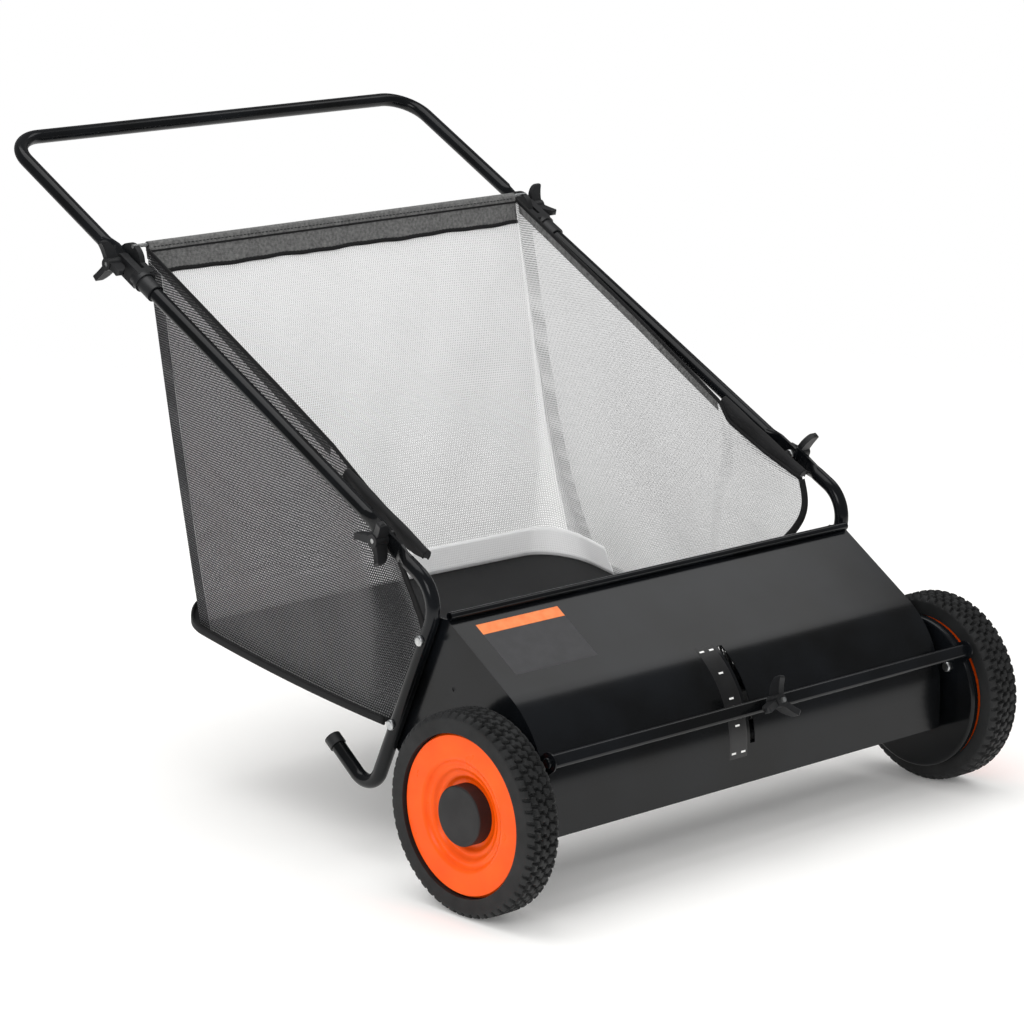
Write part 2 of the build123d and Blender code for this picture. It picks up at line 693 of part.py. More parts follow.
# Bag bottom panel, under the side panels
with BuildPart() as bag_bottom_panel:
    with BuildSketch(side(-BAG_HALF)):
        upper_line = [moved(p, (0, -1), SEAT) for p in (BAG_BOTTOM_FRONT, BAG_BOTTOM_SAG, BAG_BOTTOM_REAR)]
        lower_line = [moved(p, (0, -1), CLOTH_T) for p in upper_line]
        with BuildLine():
            ThreePointArc(*upper_line)
            Line(upper_line[2], lower_line[2])
            ThreePointArc(*lower_line)
            Line(lower_line[0], upper_line[0])
        make_face()
    extrude(amount=2 * BAG_HALF)
save(bag_bottom_panel, "bag_bottom_panel")

# Rear rod of the bag, held in the ears of the hinge clamps, and the hem that wraps it
rod_half = EAR_OUT - SEAT
with BuildPart() as bag_rear_rod:
    with BuildSketch(across(-rod_half, ROD_POS)):
        Circle(ROD_R)
    extrude(amount=2 * rod_half)
save(bag_rear_rod, "bag_rear_rod")

hem_half = BAG_HALF - CLOTH_T - SEAT
hem_front = moved(ROD_POS, BACK_OUT, -CLOTH_T / 2 - SEAT)
hem_foot = moved(hem_front, BACK_WAY, -HEM_H)
with BuildPart() as bag_hem:
    with BuildSketch(side(-hem_half)):
        with Locations(ROD_POS):
            Circle(HEM_R)
        Polygon(
            hem_front,
            moved(hem_front, BACK_OUT, -HEM_T),
            moved(hem_foot, BACK_OUT, -HEM_T),
            hem_foot,
        )
        with Locations(ROD_POS):
            Circle(ROD_R + SEAT, mode=Mode.SUBTRACT)
    extrude(amount=2 * hem_half)
save(bag_hem, "bag_hem")

# Bag flaps outside the side panels, each with its stiffening rod along the handle tube
FLAP_X = BAG_HALF + SEAT
with BuildPart() as right_bag_flap:
    with BuildSketch(side(FLAP_X)):
        Polygon(
            on_handle(FLAP_FRONT, FLAP_TOP),
            on_handle(FLAP_FRONT, FLAP_BOTTOM / 2),
            on_handle(FLAP_FRONT / 2, FLAP_BOTTOM),
            on_handle(FLAP_REAR - FLAP_SLANT, FLAP_BOTTOM),
            on_handle(FLAP_REAR, FLAP_BOTTOM / 2),
            on_handle(FLAP_REAR, FLAP_TOP),
        )
    extrude(amount=CLOTH_T)
save_both(right_bag_flap, "bag_flaps")

flap_rod_x = FLAP_X + CLOTH_T + SEAT + FLAP_CAP_R
with BuildPart() as right_flap_rod:
    with BuildSketch(facing(flap_rod_x, on_handle(FLAP_FRONT, FLAP_ROD_LIFT), ALONG)):
        Circle(FLAP_ROD_R)
    extrude(amount=FLAP_REAR - FLAP_FRONT)
    for cap_at in (FLAP_FRONT, FLAP_REAR - FLAP_CAP_L):
        with BuildSketch(facing(flap_rod_x, on_handle(cap_at, FLAP_ROD_LIFT), ALONG)):
            Circle(FLAP_CAP_R)
        extrude(amount=FLAP_CAP_L)
save_both(right_flap_rod, "flap_rods")

# Height adjuster plates: dished discs on the wheel axles, with a lug that carries the height bar
AXLE_POS = (0.0, 0.0)
BUSH_IN_R = BEARING_R + RUN
BUSH_OUT_R = BUSH_IN_R + PIVOT_WALL
LUG_WAY = toward(AXLE_POS, BAR_POS)
lug_reach = hypot(BAR_POS[0] - AXLE_POS[0], BAR_POS[1] - AXLE_POS[1]) / 2
with BuildPart() as right_adjuster_plate:
    with BuildSketch(across(DISC_X, AXLE_POS)):
        Circle(DISC_R)
    extrude(amount=DISC_RIM_D)
    fillet(right_adjuster_plate.edges().sort_by(Axis.X)[0], DISC_BEND)
    with BuildSketch(across(DISC_X + DISC_T, AXLE_POS)):
        Circle(DISC_R - DISC_T)
    extrude(amount=DISC_RIM_D, mode=Mode.SUBTRACT)
    with BuildSketch(side(DISC_X)):
        with Locations(moved(AXLE_POS, LUG_WAY, 1.5 * lug_reach)):
            SlotCenterToCenter(lug_reach, 2 * LUG_R, rotation=degrees(atan2(LUG_WAY[1], LUG_WAY[0])))
    extrude(amount=DISC_T)
    with BuildSketch(side(DISC_X)):
        with Locations(AXLE_POS):
            Circle(AXLE_R + SEAT)
        with Locations(BRUSH_POS):
            Circle(BUSH_OUT_R + SEAT)
        with Locations(BAR_POS, DISC_BOLT):
            Circle(BOLT_R + SEAT)
    extrude(amount=DISC_T, mode=Mode.SUBTRACT)
save_pair(right_adjuster_plate, "adjuster_plate")

# Pivot bushes: they turn on the shaft bearings and carry the adjuster plates
with BuildPart() as right_pivot_bush:
    with BuildSketch(across(PLATE_OUT + GAP, BRUSH_POS)):
        Circle(BUSH_OUT_R)
    extrude(amount=DISC_X + DISC_T - PLATE_OUT - GAP)
    with BuildSketch(across(DISC_X - SEAT, BRUSH_POS)):
        Circle(BUSH_OUT_R + PIVOT_FLANGE)
    extrude(amount=-PIVOT_FLANGE)
    with BuildSketch(across(PLATE_OUT + GAP, BRUSH_POS)):
        Circle(BUSH_IN_R)
    extrude(amount=DISC_X, mode=Mode.SUBTRACT)
save_both(right_pivot_bush, "pivot_bushes")

# Wheel axles: a nut inside the disc, a shoulder against the wheel and a plain end for the clip
RIM_IN = TYRE_IN + RIM_INNER_INSET
RIM_WELL_X = RIM_FACE - 3 * RIM_STEP_D
AXLE_END = RIM_WELL_X + GAP + CLIP_T + BOLT_END
with BuildPart() as right_axle:
    with BuildSketch(across(DISC_X - SEAT, AXLE_POS)):
        RegularPolygon(AXLE_BOSS_R, 6)
    extrude(amount=-2 * BOLT_HEAD_H)
    with BuildSketch(across(DISC_X - SEAT, AXLE_POS)):
        Circle(AXLE_R)
    extrude(amount=AXLE_END - DISC_X)
    with BuildSketch(across(DISC_X + DISC_T + SEAT, AXLE_POS)):
        Circle(AXLE_BOSS_R)
    extrude(amount=RIM_IN - GAP - DISC_X - DISC_T - SEAT)
save_pair(right_axle, "axle")

with BuildPart() as right_axle_clip:
    with BuildSketch(across(RIM_WELL_X + GAP, AXLE_POS)):
        Circle(CLIP_R)
        Circle(AXLE_R + SEAT, mode=Mode.SUBTRACT)
        with Locations((0, CLIP_R)):
            Rectangle(AXLE_R, CLIP_R, mode=Mode.SUBTRACT)
    extrude(amount=CLIP_T)
save_both(right_axle_clip, "axle_clips")

# Height bar across the front, from lug to lug
bar_half = DISC_X - SEAT
with BuildPart() as height_bar:
    with BuildSketch(across(-bar_half, BAR_POS)):
        SlotOverall(BAR_H, BAR_T, rotation=BOLT_ANGLE + 90)
        Circle(BOLT_R + SEAT, mode=Mode.SUBTRACT)
    extrude(amount=2 * bar_half)
    with BuildSketch(facing(0, moved(BAR_POS, BOLT_WAY, -BAR_H), BOLT_WAY)):
        Circle(BOLT_R + SEAT)
    extrude(amount=2 * BAR_H, mode=Mode.SUBTRACT)
save(height_bar, "height_bar")

bar_end_bolt = bolt(across(DISC_X + DISC_T + SEAT, BAR_POS), BAR_END_GRIP)
disc_bolt = bolt(inward(DISC_X - SEAT, DISC_BOLT), DISC_T + BOLT_END)
with BuildPart() as right_bar_end_bolt:
    add(bar_end_bolt)
save_both(right_bar_end_bolt, "bar_end_bolts")

with BuildPart() as right_adjuster_bolt:
    add(disc_bolt)
save_both(right_adjuster_bolt, "adjuster_bolts")

# Height bolt: its head lies behind the cover, its shank runs through the slot and the bar
BAR_FACE = BAR_REACH + BAR_T / 2
height_head = facing(0, moved(BRUSH_POS, BOLT_WAY, BOLT_INNER_END), BOLT_WAY)
with BuildPart() as height_bolt:
    with BuildSketch(height_head):
        Circle(BOLT_HEAD_R)
    extrude(amount=BOLT_HEAD_H)
    with BuildSketch(height_head):
        Circle(BOLT_R)
    extrude(amount=BAR_FACE + GAP + KNOB_HUB_H + BOLT_END - BOLT_INNER_END)
save(height_bolt, "height_bolt")

front_knob = knob(facing(0, moved(BRUSH_POS, BOLT_WAY, BAR_FACE + GAP), BOLT_WAY), HEIGHT_KNOB_TURN)
with BuildPart() as height_knob:
    add(front_knob)
save(height_knob, "height_knob")


# Gear teeth
def involute(angle):
    """Involute function of a pressure angle in radians."""
    return tan(angle) - angle


def tooth_ring(teeth, width, radii):
    """Outline of teeth round the origin: each flank is an involute through the given radii."""
    pitch_r = MODULE * teeth / 2
    pressure = radians(PRESSURE_ANGLE)
    base_r = pitch_r * cos(pressure)
    points = []
    for tooth in range(teeth):
        middle = radians(BRUSH_ANGLE) + 2 * pi * tooth / teeth
        flank = []
        for r in radii:
            slant = involute(acos(min(1.0, base_r / r)))
            flank.append((r, width / (2 * pitch_r) + involute(pressure) - slant))
        points += [(r * cos(middle - half), r * sin(middle - half)) for r, half in flank]
        points += [(r * cos(middle + half), r * sin(middle + half)) for r, half in reversed(flank)]
    return points


RING_PITCH_R = MODULE * RING_TEETH / 2
PINION_PITCH_R = MODULE * PINION_TEETH / 2
TOOTH_W = pi * MODULE / 2
ring_tip = RING_PITCH_R - RING_ADDENDUM * MODULE
ring_root = RING_PITCH_R + DEDENDUM * MODULE
pinion_tip = PINION_PITCH_R + PINION_ADDENDUM * MODULE
pinion_root = PINION_PITCH_R - DEDENDUM * MODULE
pinion_base = PINION_PITCH_R * cos(radians(PRESSURE_ANGLE))
ring_outline = tooth_ring(RING_TEETH, TOOTH_W, [ring_tip, RING_PITCH_R, ring_root])
pinion_outline = tooth_ring(
    PINION_TEETH,
    TOOTH_W - BACKLASH,
    [pinion_root, pinion_base, PINION_PITCH_R, (PINION_PITCH_R + pinion_tip) / 2, pinion_tip],
)

# Wheel rims: a stepped dish with a hub, and the ring of inner teeth at the open side
AXLE_LINE = Axis((0, AXLE_Y, AXLE_Z), (1, 0, 0))
AXLE_SECTION = Plane(origin=(0, AXLE_Y, AXLE_Z), x_dir=(1, 0, 0), z_dir=(0, -1, 0))
barrel_r = RIM_R - RIM_WALL
steps = [RIM_FACE - RIM_STEP_D * step for step in range(4)]
dish = [
    (steps[0], barrel_r),
    (steps[0], RIM_FLAT_R),
    (steps[1], RIM_FLAT_R - RIM_STEP_W),
    (steps[1], RIM_RIDGE_R),
    (steps[2], RIM_RIDGE_R - RIM_STEP_W),
    (steps[2], RIM_WELL_R),
    (steps[3], RIM_WELL_R - RIM_STEP_W),
]
with BuildPart() as right_rim:
    with BuildSketch(AXLE_SECTION) as rim_section:
        Polygon(
            (RIM_IN, barrel_r),
            (RIM_IN, RIM_R),
            (RIM_FACE - RIM_STEP_W, RIM_R),
            *dish,
            (steps[3], BUSH_R + SEAT),
            (RIM_IN, BUSH_R + SEAT),
            (RIM_IN, HUB_R),
            (steps[3] - RIM_WALL, HUB_R),
            *[(x - RIM_WALL, r) for x, r in reversed(dish)],
        )
        dish_corners = rim_section.vertices().filter_by_position(Axis.Y, dish[-1][1], dish[1][1])
        fillet(dish_corners, RIM_ROUND)
    revolve(axis=AXLE_LINE)
    with BuildSketch(across(RIM_IN, AXLE_POS)):
        Circle(barrel_r)
        Polygon(*ring_outline, mode=Mode.SUBTRACT)
    extrude(amount=GEAR_W)
save_pair(right_rim, "rim")

# Tyres: a flat tread with rounded shoulders
with BuildPart() as right_tyre:
    with BuildSketch(AXLE_SECTION):
        with Locations((WHEEL_X, (TYRE_R + RIM_R + SEAT) / 2)):
            tread = Rectangle(TYRE_W, TYRE_R - RIM_R - SEAT)
        fillet(tread.vertices().group_by(Axis.Y)[-1], TYRE_SHOULDER)
    revolve(axis=AXLE_LINE)
save_pair(right_tyre, "tyre")

# Wheel bushes and hub caps
with BuildPart() as right_wheel_bush:
    with BuildSketch(across(RIM_IN, AXLE_POS)):
        Circle(BUSH_R)
        Circle(AXLE_R + RUN, mode=Mode.SUBTRACT)
    extrude(amount=RIM_WELL_X - RIM_IN)
save_pair(right_wheel_bush, "wheel_bush")

cap_depth = RIM_FACE + HUB_CAP_PROUD - RIM_WELL_X - SEAT
with BuildPart() as right_hub_cap:
    with BuildSketch(across(RIM_WELL_X + SEAT, AXLE_POS)):
        Circle(HUB_CAP_R)
    extrude(amount=cap_depth)
    fillet(right_hub_cap.edges().sort_by(Axis.X)[-1], HUB_CAP_WALL)
    with BuildSketch(across(RIM_WELL_X + SEAT, AXLE_POS)):
        Circle(HUB_CAP_R - HUB_CAP_WALL)
    extrude(amount=cap_depth - HUB_CAP_WALL, mode=Mode.SUBTRACT)
save_pair(right_hub_cap, "hub_cap")

# Brush shaft and its pinions
PINION_IN = BEARING_OUT + GAP
PINION_OUT = RIM_IN + GEAR_W
PIN_X = (PINION_IN + RIM_IN) / 2
shaft_half = PINION_OUT + SHAFT_R / 2
pin_plane = Plane(origin=space(PIN_X, BRUSH_POS), x_dir=(1, 0, 0), z_dir=(0, 0, 1))
with BuildPart() as brush_shaft:
    with BuildSketch(across(-shaft_half, BRUSH_POS)):
        Circle(SHAFT_R)
    extrude(amount=2 * shaft_half)
    for pin_side in (-PIN_X, PIN_X):
        with BuildSketch(Plane(origin=space(pin_side, BRUSH_POS), x_dir=(1, 0, 0), z_dir=(0, 0, 1))):
            Circle(DRIVE_PIN_R + SEAT)
        extrude(amount=SHAFT_R, both=True, mode=Mode.SUBTRACT)
save(brush_shaft, "brush_shaft")

with BuildPart() as right_pinion:
    with BuildSketch(across(RIM_IN, BRUSH_POS)):
        Polygon(*pinion_outline)
    extrude(amount=GEAR_W)
    with BuildSketch(across(PINION_IN, BRUSH_POS)):
        Circle(PINION_HUB_R)
    extrude(amount=RIM_IN - PINION_IN)
    with BuildSketch(across(PINION_IN, BRUSH_POS)):
        Circle(SHAFT_R + SEAT)
    extrude(amount=PINION_OUT - PINION_IN, mode=Mode.SUBTRACT)
    with BuildSketch(pin_plane):
        Circle(DRIVE_PIN_R + SEAT)
    extrude(amount=PINION_HUB_R, both=True, mode=Mode.SUBTRACT)
save_pair(right_pinion, "pinion")

with BuildPart() as right_drive_pin:
    with BuildSketch(pin_plane):
        Circle(DRIVE_PIN_R)
    extrude(amount=PINION_HUB_R, both=True)
save_both(right_drive_pin, "drive_pins")

# Brush spiders: pierced discs with a hub, which carry the rails
SPIDER_R = RAIL_R - SEAT
spider_reach = STRIP_HALF - SPIDER_HUB_L
spider_step = 2 * spider_reach / (SPIDER_COUNT - 1)
with BuildPart() as brush_spiders:
    for spider in range(SPIDER_COUNT):
        middle_x = spider * spider_step - spider_reach
        with BuildSketch(across(middle_x, BRUSH_POS)):
            Circle(SPIDER_R)
            with PolarLocations((SPIDER_R + SPIDER_HUB_R) / 2, STRIP_COUNT, start_angle=180 / STRIP_COUNT):
                Circle(SPIDER_HOLE_R, mode=Mode.SUBTRACT)
        extrude(amount=SPIDER_T / 2, both=True)
        with BuildSketch(across(middle_x, BRUSH_POS)):
            Circle(SPIDER_HUB_R)
        extrude(amount=SPIDER_HUB_L / 2, both=True)
    with BuildSketch(across(-STRIP_HALF, BRUSH_POS)):
        Circle(SHAFT_R + SEAT)
    extrude(amount=2 * STRIP_HALF, mode=Mode.SUBTRACT)
save(brush_spiders, "brush_spiders")

# Brush rails: open channels round the spiders, one for each bristle strip
channel_w = STRIP_ROOT_W + 2 * SEAT
with BuildPart() as brush_rails:
    with BuildSketch(across(-STRIP_HALF, BRUSH_POS)):
        with PolarLocations(RAIL_R + RAIL_H / 2, STRIP_COUNT):
            Rectangle(RAIL_H, channel_w + 2 * RAIL_WALL)
        with PolarLocations(RAIL_R + RAIL_WALL + RAIL_H / 2, STRIP_COUNT):
            Rectangle(RAIL_H, channel_w, mode=Mode.SUBTRACT)
    extrude(amount=2 * STRIP_HALF)
save(brush_rails, "brush_rails")

# Bristle strips: they spread from the rail to the tip
strip_root = RAIL_R + RAIL_WALL + SEAT
strip_neck = RAIL_R + RAIL_H
for strip in range(STRIP_COUNT):
    turn = 2 * pi * strip / STRIP_COUNT
    strip_plane = Plane(space(-STRIP_HALF, BRUSH_POS), x_dir=(0, cos(turn), sin(turn)), z_dir=(1, 0, 0))
    with BuildPart() as bristle_strip:
        with BuildSketch(strip_plane):
            Polygon(
                (strip_root, -STRIP_ROOT_W / 2),
                (strip_neck, -STRIP_ROOT_W / 2),
                (BRUSH_R, -STRIP_TIP_W / 2),
                (BRUSH_R, STRIP_TIP_W / 2),
                (strip_neck, STRIP_ROOT_W / 2),
                (strip_root, STRIP_ROOT_W / 2),
            )
        extrude(amount=2 * STRIP_HALF)
    save(bristle_strip, f"bristle_strip_{strip + 1}")
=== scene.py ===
# %% [markdown]
# # A push lawn sweeper, dressed
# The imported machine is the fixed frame: its pieces stay where they are. This lesson gives each of
# them its real finish and adds what the solids leave plain: knobbly tyres, brush filaments, a sewn
# mesh bag and the printed marks on the cover.

# %% Load the frame
import json

import bpy
import numpy as np
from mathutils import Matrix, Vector


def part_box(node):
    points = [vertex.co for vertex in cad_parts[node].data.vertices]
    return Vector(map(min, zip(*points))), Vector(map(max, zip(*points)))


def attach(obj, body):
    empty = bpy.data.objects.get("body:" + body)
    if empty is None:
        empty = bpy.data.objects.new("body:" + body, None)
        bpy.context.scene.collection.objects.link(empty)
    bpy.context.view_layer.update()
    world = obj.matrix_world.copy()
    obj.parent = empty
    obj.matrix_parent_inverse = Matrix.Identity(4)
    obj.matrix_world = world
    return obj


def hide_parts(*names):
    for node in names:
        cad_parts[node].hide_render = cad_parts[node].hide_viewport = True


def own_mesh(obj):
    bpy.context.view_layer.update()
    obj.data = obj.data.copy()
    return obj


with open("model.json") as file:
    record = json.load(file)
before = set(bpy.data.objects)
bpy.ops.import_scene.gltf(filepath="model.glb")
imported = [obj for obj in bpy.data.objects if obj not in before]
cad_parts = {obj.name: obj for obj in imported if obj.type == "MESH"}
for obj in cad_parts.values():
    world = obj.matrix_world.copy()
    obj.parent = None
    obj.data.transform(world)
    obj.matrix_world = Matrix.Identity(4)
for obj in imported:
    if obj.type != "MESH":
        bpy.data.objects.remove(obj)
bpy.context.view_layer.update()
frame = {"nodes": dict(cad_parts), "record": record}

# %% [markdown]
# ## Places
# Sizes here are millimetres, as on a drawing of the side: y runs back from the wheel axle and z up
# from the floor. One function turns them into metres of the shared frame, with the axle read from
# the left tyre's box, so nothing has to be fitted by eye.

# %% Places read from the frame
MM = 0.001
tyre_low, tyre_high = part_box("left_tyre")
AXLE_Y = (tyre_low[1] + tyre_high[1]) / 2
AXLE_Z = (tyre_low[2] + tyre_high[2]) / 2
TYRE_R = (tyre_high[2] - tyre_low[2]) / 2 / MM
WHEEL_X = abs(tyre_low[0] + tyre_high[0]) / 2 / MM
BAG_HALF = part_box("right_bag_panel")[1][0] / MM


def place(x, y, z):
    """Array of frame points in metres from side-view millimetres; the three arrays are spread together."""
    x, y, z = np.broadcast_arrays(x, y, z)
    return np.stack([x * MM, AXLE_Y + y * MM, z * MM], axis=-1)


print("axle", round(AXLE_Y, 4), round(AXLE_Z, 4), "tyre radius", TYRE_R, "bag half width", BAG_HALF)

# %% [markdown]
# ## Meshes from grids
# Every new piece is a grid of points worked out in one go, rows by columns. A face joins each square
# of four neighbours. Blender takes the arrays whole, which is quick and keeps the formulas readable.

# %% Faces and pieces


def grid_faces(rows, columns, close_rows=False, close_columns=False):
    """Corner numbers of every square of a grid; closing joins the last row or column to the first."""
    index = np.arange(rows * columns).reshape(rows, columns)
    if close_rows:
        index = np.concatenate([index, index[:1]], axis=0)
    if close_columns:
        index = np.concatenate([index, index[:, :1]], axis=1)
    squares = [index[:-1, :-1], index[1:, :-1], index[1:, 1:], index[:-1, 1:]]
    return np.stack(squares, axis=-1).reshape(-1, 4)


def make_piece(name, points, faces, body, materials, uv=None, sharp=None):
    """A mesh object from points and faces, riding on a body, with its finish and weave lengths."""
    mesh = bpy.data.meshes.new(name)
    points = points.reshape(-1, 3)
    mesh.vertices.add(len(points))
    mesh.vertices.foreach_set("co", points.astype(np.float32).ravel())
    mesh.loops.add(faces.size)
    mesh.loops.foreach_set("vertex_index", faces.astype(np.int32).ravel())
    mesh.polygons.add(len(faces))
    starts = np.arange(0, faces.size, faces.shape[1], dtype=np.int32)
    mesh.polygons.foreach_set("loop_start", starts)
    mesh.update(calc_edges=True)
    if uv is not None:
        layer = mesh.uv_layers.new(name="weave")
        layer.uv.foreach_set("vector", uv.reshape(-1, 2)[faces.ravel()].astype(np.float32).ravel())
    mesh.shade_smooth()
    if sharp is not None:
        mesh.set_sharp_from_angle(angle=np.radians(sharp))
    piece = bpy.data.objects.new(name, mesh)
    bpy.context.scene.collection.objects.link(piece)
    for material in materials:
        mesh.materials.append(material)
    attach(piece, body)
    print(name, len(points), "points", len(faces), "faces")
    return piece


print("a closed ring of 3 by 4 points has", len(grid_faces(3, 4, False, True)), "faces")

# %% Lengths and area of a grid


def grid_lengths(grid):
    """Lengths along the columns and rows of a grid: the flat coordinates of a cloth before it was hung."""
    across = np.linalg.norm(np.diff(grid, axis=1), axis=-1)
    along = np.linalg.norm(np.diff(grid, axis=0), axis=-1)
    u = np.pad(np.cumsum(across, axis=1), ((0, 0), (1, 0)))
    v = np.pad(np.cumsum(along, axis=0), ((1, 0), (0, 0)))
    u = u - u.mean(axis=1, keepdims=True)
    return np.stack([u, v], axis=-1)


def grid_area(grid):
    """Area of a grid in square metres: half the cross product of each square's diagonals."""
    first = grid[1:, 1:] - grid[:-1, :-1]
    second = grid[1:, :-1] - grid[:-1, 1:]
    return float(np.linalg.norm(np.cross(first, second), axis=-1).sum() / 2)


def row_length(row):
    """Length of a line of points in metres."""
    return float(np.linalg.norm(np.diff(row, axis=0), axis=-1).sum())


unit_square = np.array([[[0, 0, 0], [1, 0, 0]], [[0, 1, 0], [1, 1, 0]]])
print("a square with sides of", row_length(unit_square[0]), "m has", grid_area(unit_square), "m2")

# %% [markdown]
# ## Colours and nodes
# A colour is written as it would be picked on a screen, and the shader needs it linear. One small
# function adds any node: its settings, its input values and its links. No real surface is quite
# even, so three more functions vary the colour, the relief and the gloss with noise.

# %% Colours and nodes


def linear(code):
    """Linear colour of an sRGB hex code, by the sRGB curve, with full alpha."""
    part = np.array([int(code[i : i + 2], 16) for i in (0, 2, 4)]) / 255
    flat = np.where(part <= 0.04045, part / 12.92, ((part + 0.055) / 1.055) ** 2.4)
    return (*flat.tolist(), 1.0)


def add_node(tree, kind, inputs=(), **settings):
    """A node of any kind; each input is (socket, value), and a value that is a socket is linked."""
    node = tree.nodes.new(kind)
    for name, value in settings.items():
        setattr(node, name, value)
    for socket, value in inputs:
        if isinstance(value, bpy.types.NodeSocket):
            tree.links.new(value, node.inputs[socket])
        else:
            node.inputs[socket].default_value = value
    return node


def start_material(name, color, roughness, metallic=0.0):
    """A material with its main shader set to plain values; returns it with its tree and shader."""
    material = bpy.data.materials.new(name)
    material.use_nodes = True
    tree = material.node_tree
    shader = tree.nodes["Principled BSDF"]
    shader.inputs["Base Color"].default_value = linear(color)
    shader.inputs["Roughness"].default_value = roughness
    shader.inputs["Metallic"].default_value = metallic
    return material, tree, shader


print("the grey 808080 is", round(linear("808080")[0], 3), "in linear light")

# %% Patterns from noise


def per_metre(size_mm):
    """Texture scale at which one repeat has the given size."""
    return 1 / (size_mm * MM)


def mottle(tree, shader, size_mm, first, second, low=0.35, high=0.65):
    """Soft patches of two colours, size_mm across: noise through a ramp into the base colour."""
    where = add_node(tree, "ShaderNodeTexCoord")
    noise_in = [("Vector", where.outputs["Object"]), ("Scale", per_metre(size_mm)), ("Detail", 5.0)]
    noise = add_node(tree, "ShaderNodeTexNoise", noise_in)
    ramp = add_node(tree, "ShaderNodeValToRGB", [("Fac", noise.outputs["Fac"])])
    ramp.color_ramp.elements[0].position = low
    ramp.color_ramp.elements[1].position = high
    ramp.color_ramp.elements[0].color = linear(first)
    ramp.color_ramp.elements[1].color = linear(second)
    tree.links.new(ramp.outputs["Color"], shader.inputs["Base Color"])
    return where


def grain(tree, shader, where, size_mm, depth_mm, strength):
    """Fine relief on a surface: noise of size_mm as a bump of depth_mm."""
    noise_in = [("Vector", where.outputs["Object"]), ("Scale", per_metre(size_mm)), ("Detail", 3.0)]
    noise = add_node(tree, "ShaderNodeTexNoise", noise_in)
    bump_in = [("Strength", strength), ("Distance", depth_mm * MM), ("Height", noise.outputs["Fac"])]
    bump = add_node(tree, "ShaderNodeBump", bump_in)
    tree.links.new(bump.outputs["Normal"], shader.inputs["Normal"])


def dull_patches(tree, shader, where, size_mm, low, high):
    """Handling marks: noise of size_mm moves the roughness between two values."""
    noise_in = [("Vector", where.outputs["Object"]), ("Scale", per_metre(size_mm)), ("Detail", 4.0)]
    noise = add_node(tree, "ShaderNodeTexNoise", noise_in)
    spread_in = [("Value", noise.outputs["Fac"]), ("To Min", low), ("To Max", high)]
    spread = add_node(tree, "ShaderNodeMapRange", spread_in)
    tree.links.new(spread.outputs["Result"], shader.inputs["Roughness"])


print("patches of 40 mm need a scale of", per_metre(40.0))

# %% [markdown]
# ## Metal finishes
# The cover, plates and tubes are sheet steel with black stoving enamel. It is glossy, and its skin
# is faintly rippled like orange peel, which breaks the edges of reflections. Bolts and pins are
# zinc-plated: a pale grey metal with a dull bloom.

# %% Black enamel and zinc
# Enamel gives the eye a deep black with soft wide highlights.
black_enamel, tree, shader = start_material("black stoving enamel", "0B0C0E", 0.17)
where = mottle(tree, shader, 90.0, "08090A", "111316")
dull_patches(tree, shader, where, 60.0, 0.14, 0.2)
grain(tree, shader, where, 2.2, 0.02, 0.2)
shader.inputs["Specular IOR Level"].default_value = 0.26

# Zinc plate gives a bright, slightly cloudy metal.
zinc_steel, tree, shader = start_material("bright zinc plate", "C6C8C9", 0.34, 1.0)
where = mottle(tree, shader, 7.0, "AEB1B3", "D6D7D6")
dull_patches(tree, shader, where, 4.0, 0.26, 0.45)
grain(tree, shader, where, 0.8, 0.02, 0.3)
print("metal finishes:", black_enamel.name, "and", zinc_steel.name)

# %% [markdown]
# ## Plastics and rubber
# The rims are moulded polypropylene in a warm orange, with the slight waviness of a cooled
# moulding. Knobs, hub caps and hinge clamps are glass-filled nylon, satin and finely grained. The
# tyres are blow-moulded rubber compound, dull and a little dusty.

# %% Plastics and rubber
# Polypropylene looks waxy: an even colour with a broad soft shine.
orange_rim, tree, shader = start_material("moulded orange polypropylene", "FF5804", 0.3)
where = mottle(tree, shader, 40.0, "F75202", "FF5E08", 0.3, 0.7)
dull_patches(tree, shader, where, 25.0, 0.24, 0.34)
grain(tree, shader, where, 1.6, 0.03, 0.3)
shader.inputs["Specular IOR Level"].default_value = 0.22
shader.inputs["Subsurface Weight"].default_value = 0.05
shader.inputs["Subsurface Radius"].default_value = (0.004, 0.0015, 0.0006)

# Glass-filled nylon shows a fine spark-eroded grain, drawn coarser than it is so that it shows.
black_nylon, tree, shader = start_material("satin black nylon", "17181A", 0.45)
where = mottle(tree, shader, 30.0, "121315", "1E1F21")
dull_patches(tree, shader, where, 15.0, 0.38, 0.55)
grain(tree, shader, where, 0.9, 0.06, 0.5)

# The hub cap has the same nylon with a duller face.
cap_nylon, tree, shader = start_material("matt black nylon", "1A1A1B", 0.6)
where = mottle(tree, shader, 25.0, "161617", "202021")
grain(tree, shader, where, 0.9, 0.06, 0.5)

# Rubber compound swallows light, and dust stays in its hollows.
tyre_rubber, tree, shader = start_material("moulded tread rubber", "151617", 0.7)
where = mottle(tree, shader, 35.0, "101112", "1D1E1F")
dull_patches(tree, shader, where, 12.0, 0.58, 0.8)
grain(tree, shader, where, 1.4, 0.12, 0.6)

# Brush filament is extruded polypropylene: thin, black, with a narrow shine along its length.
bristle, tree, shader = start_material("black brush filament", "15161A", 0.4)
mottle(tree, shader, 20.0, "101114", "212228")
print("rim finish:", orange_rim.name, "- tyre finish:", tyre_rubber.name)

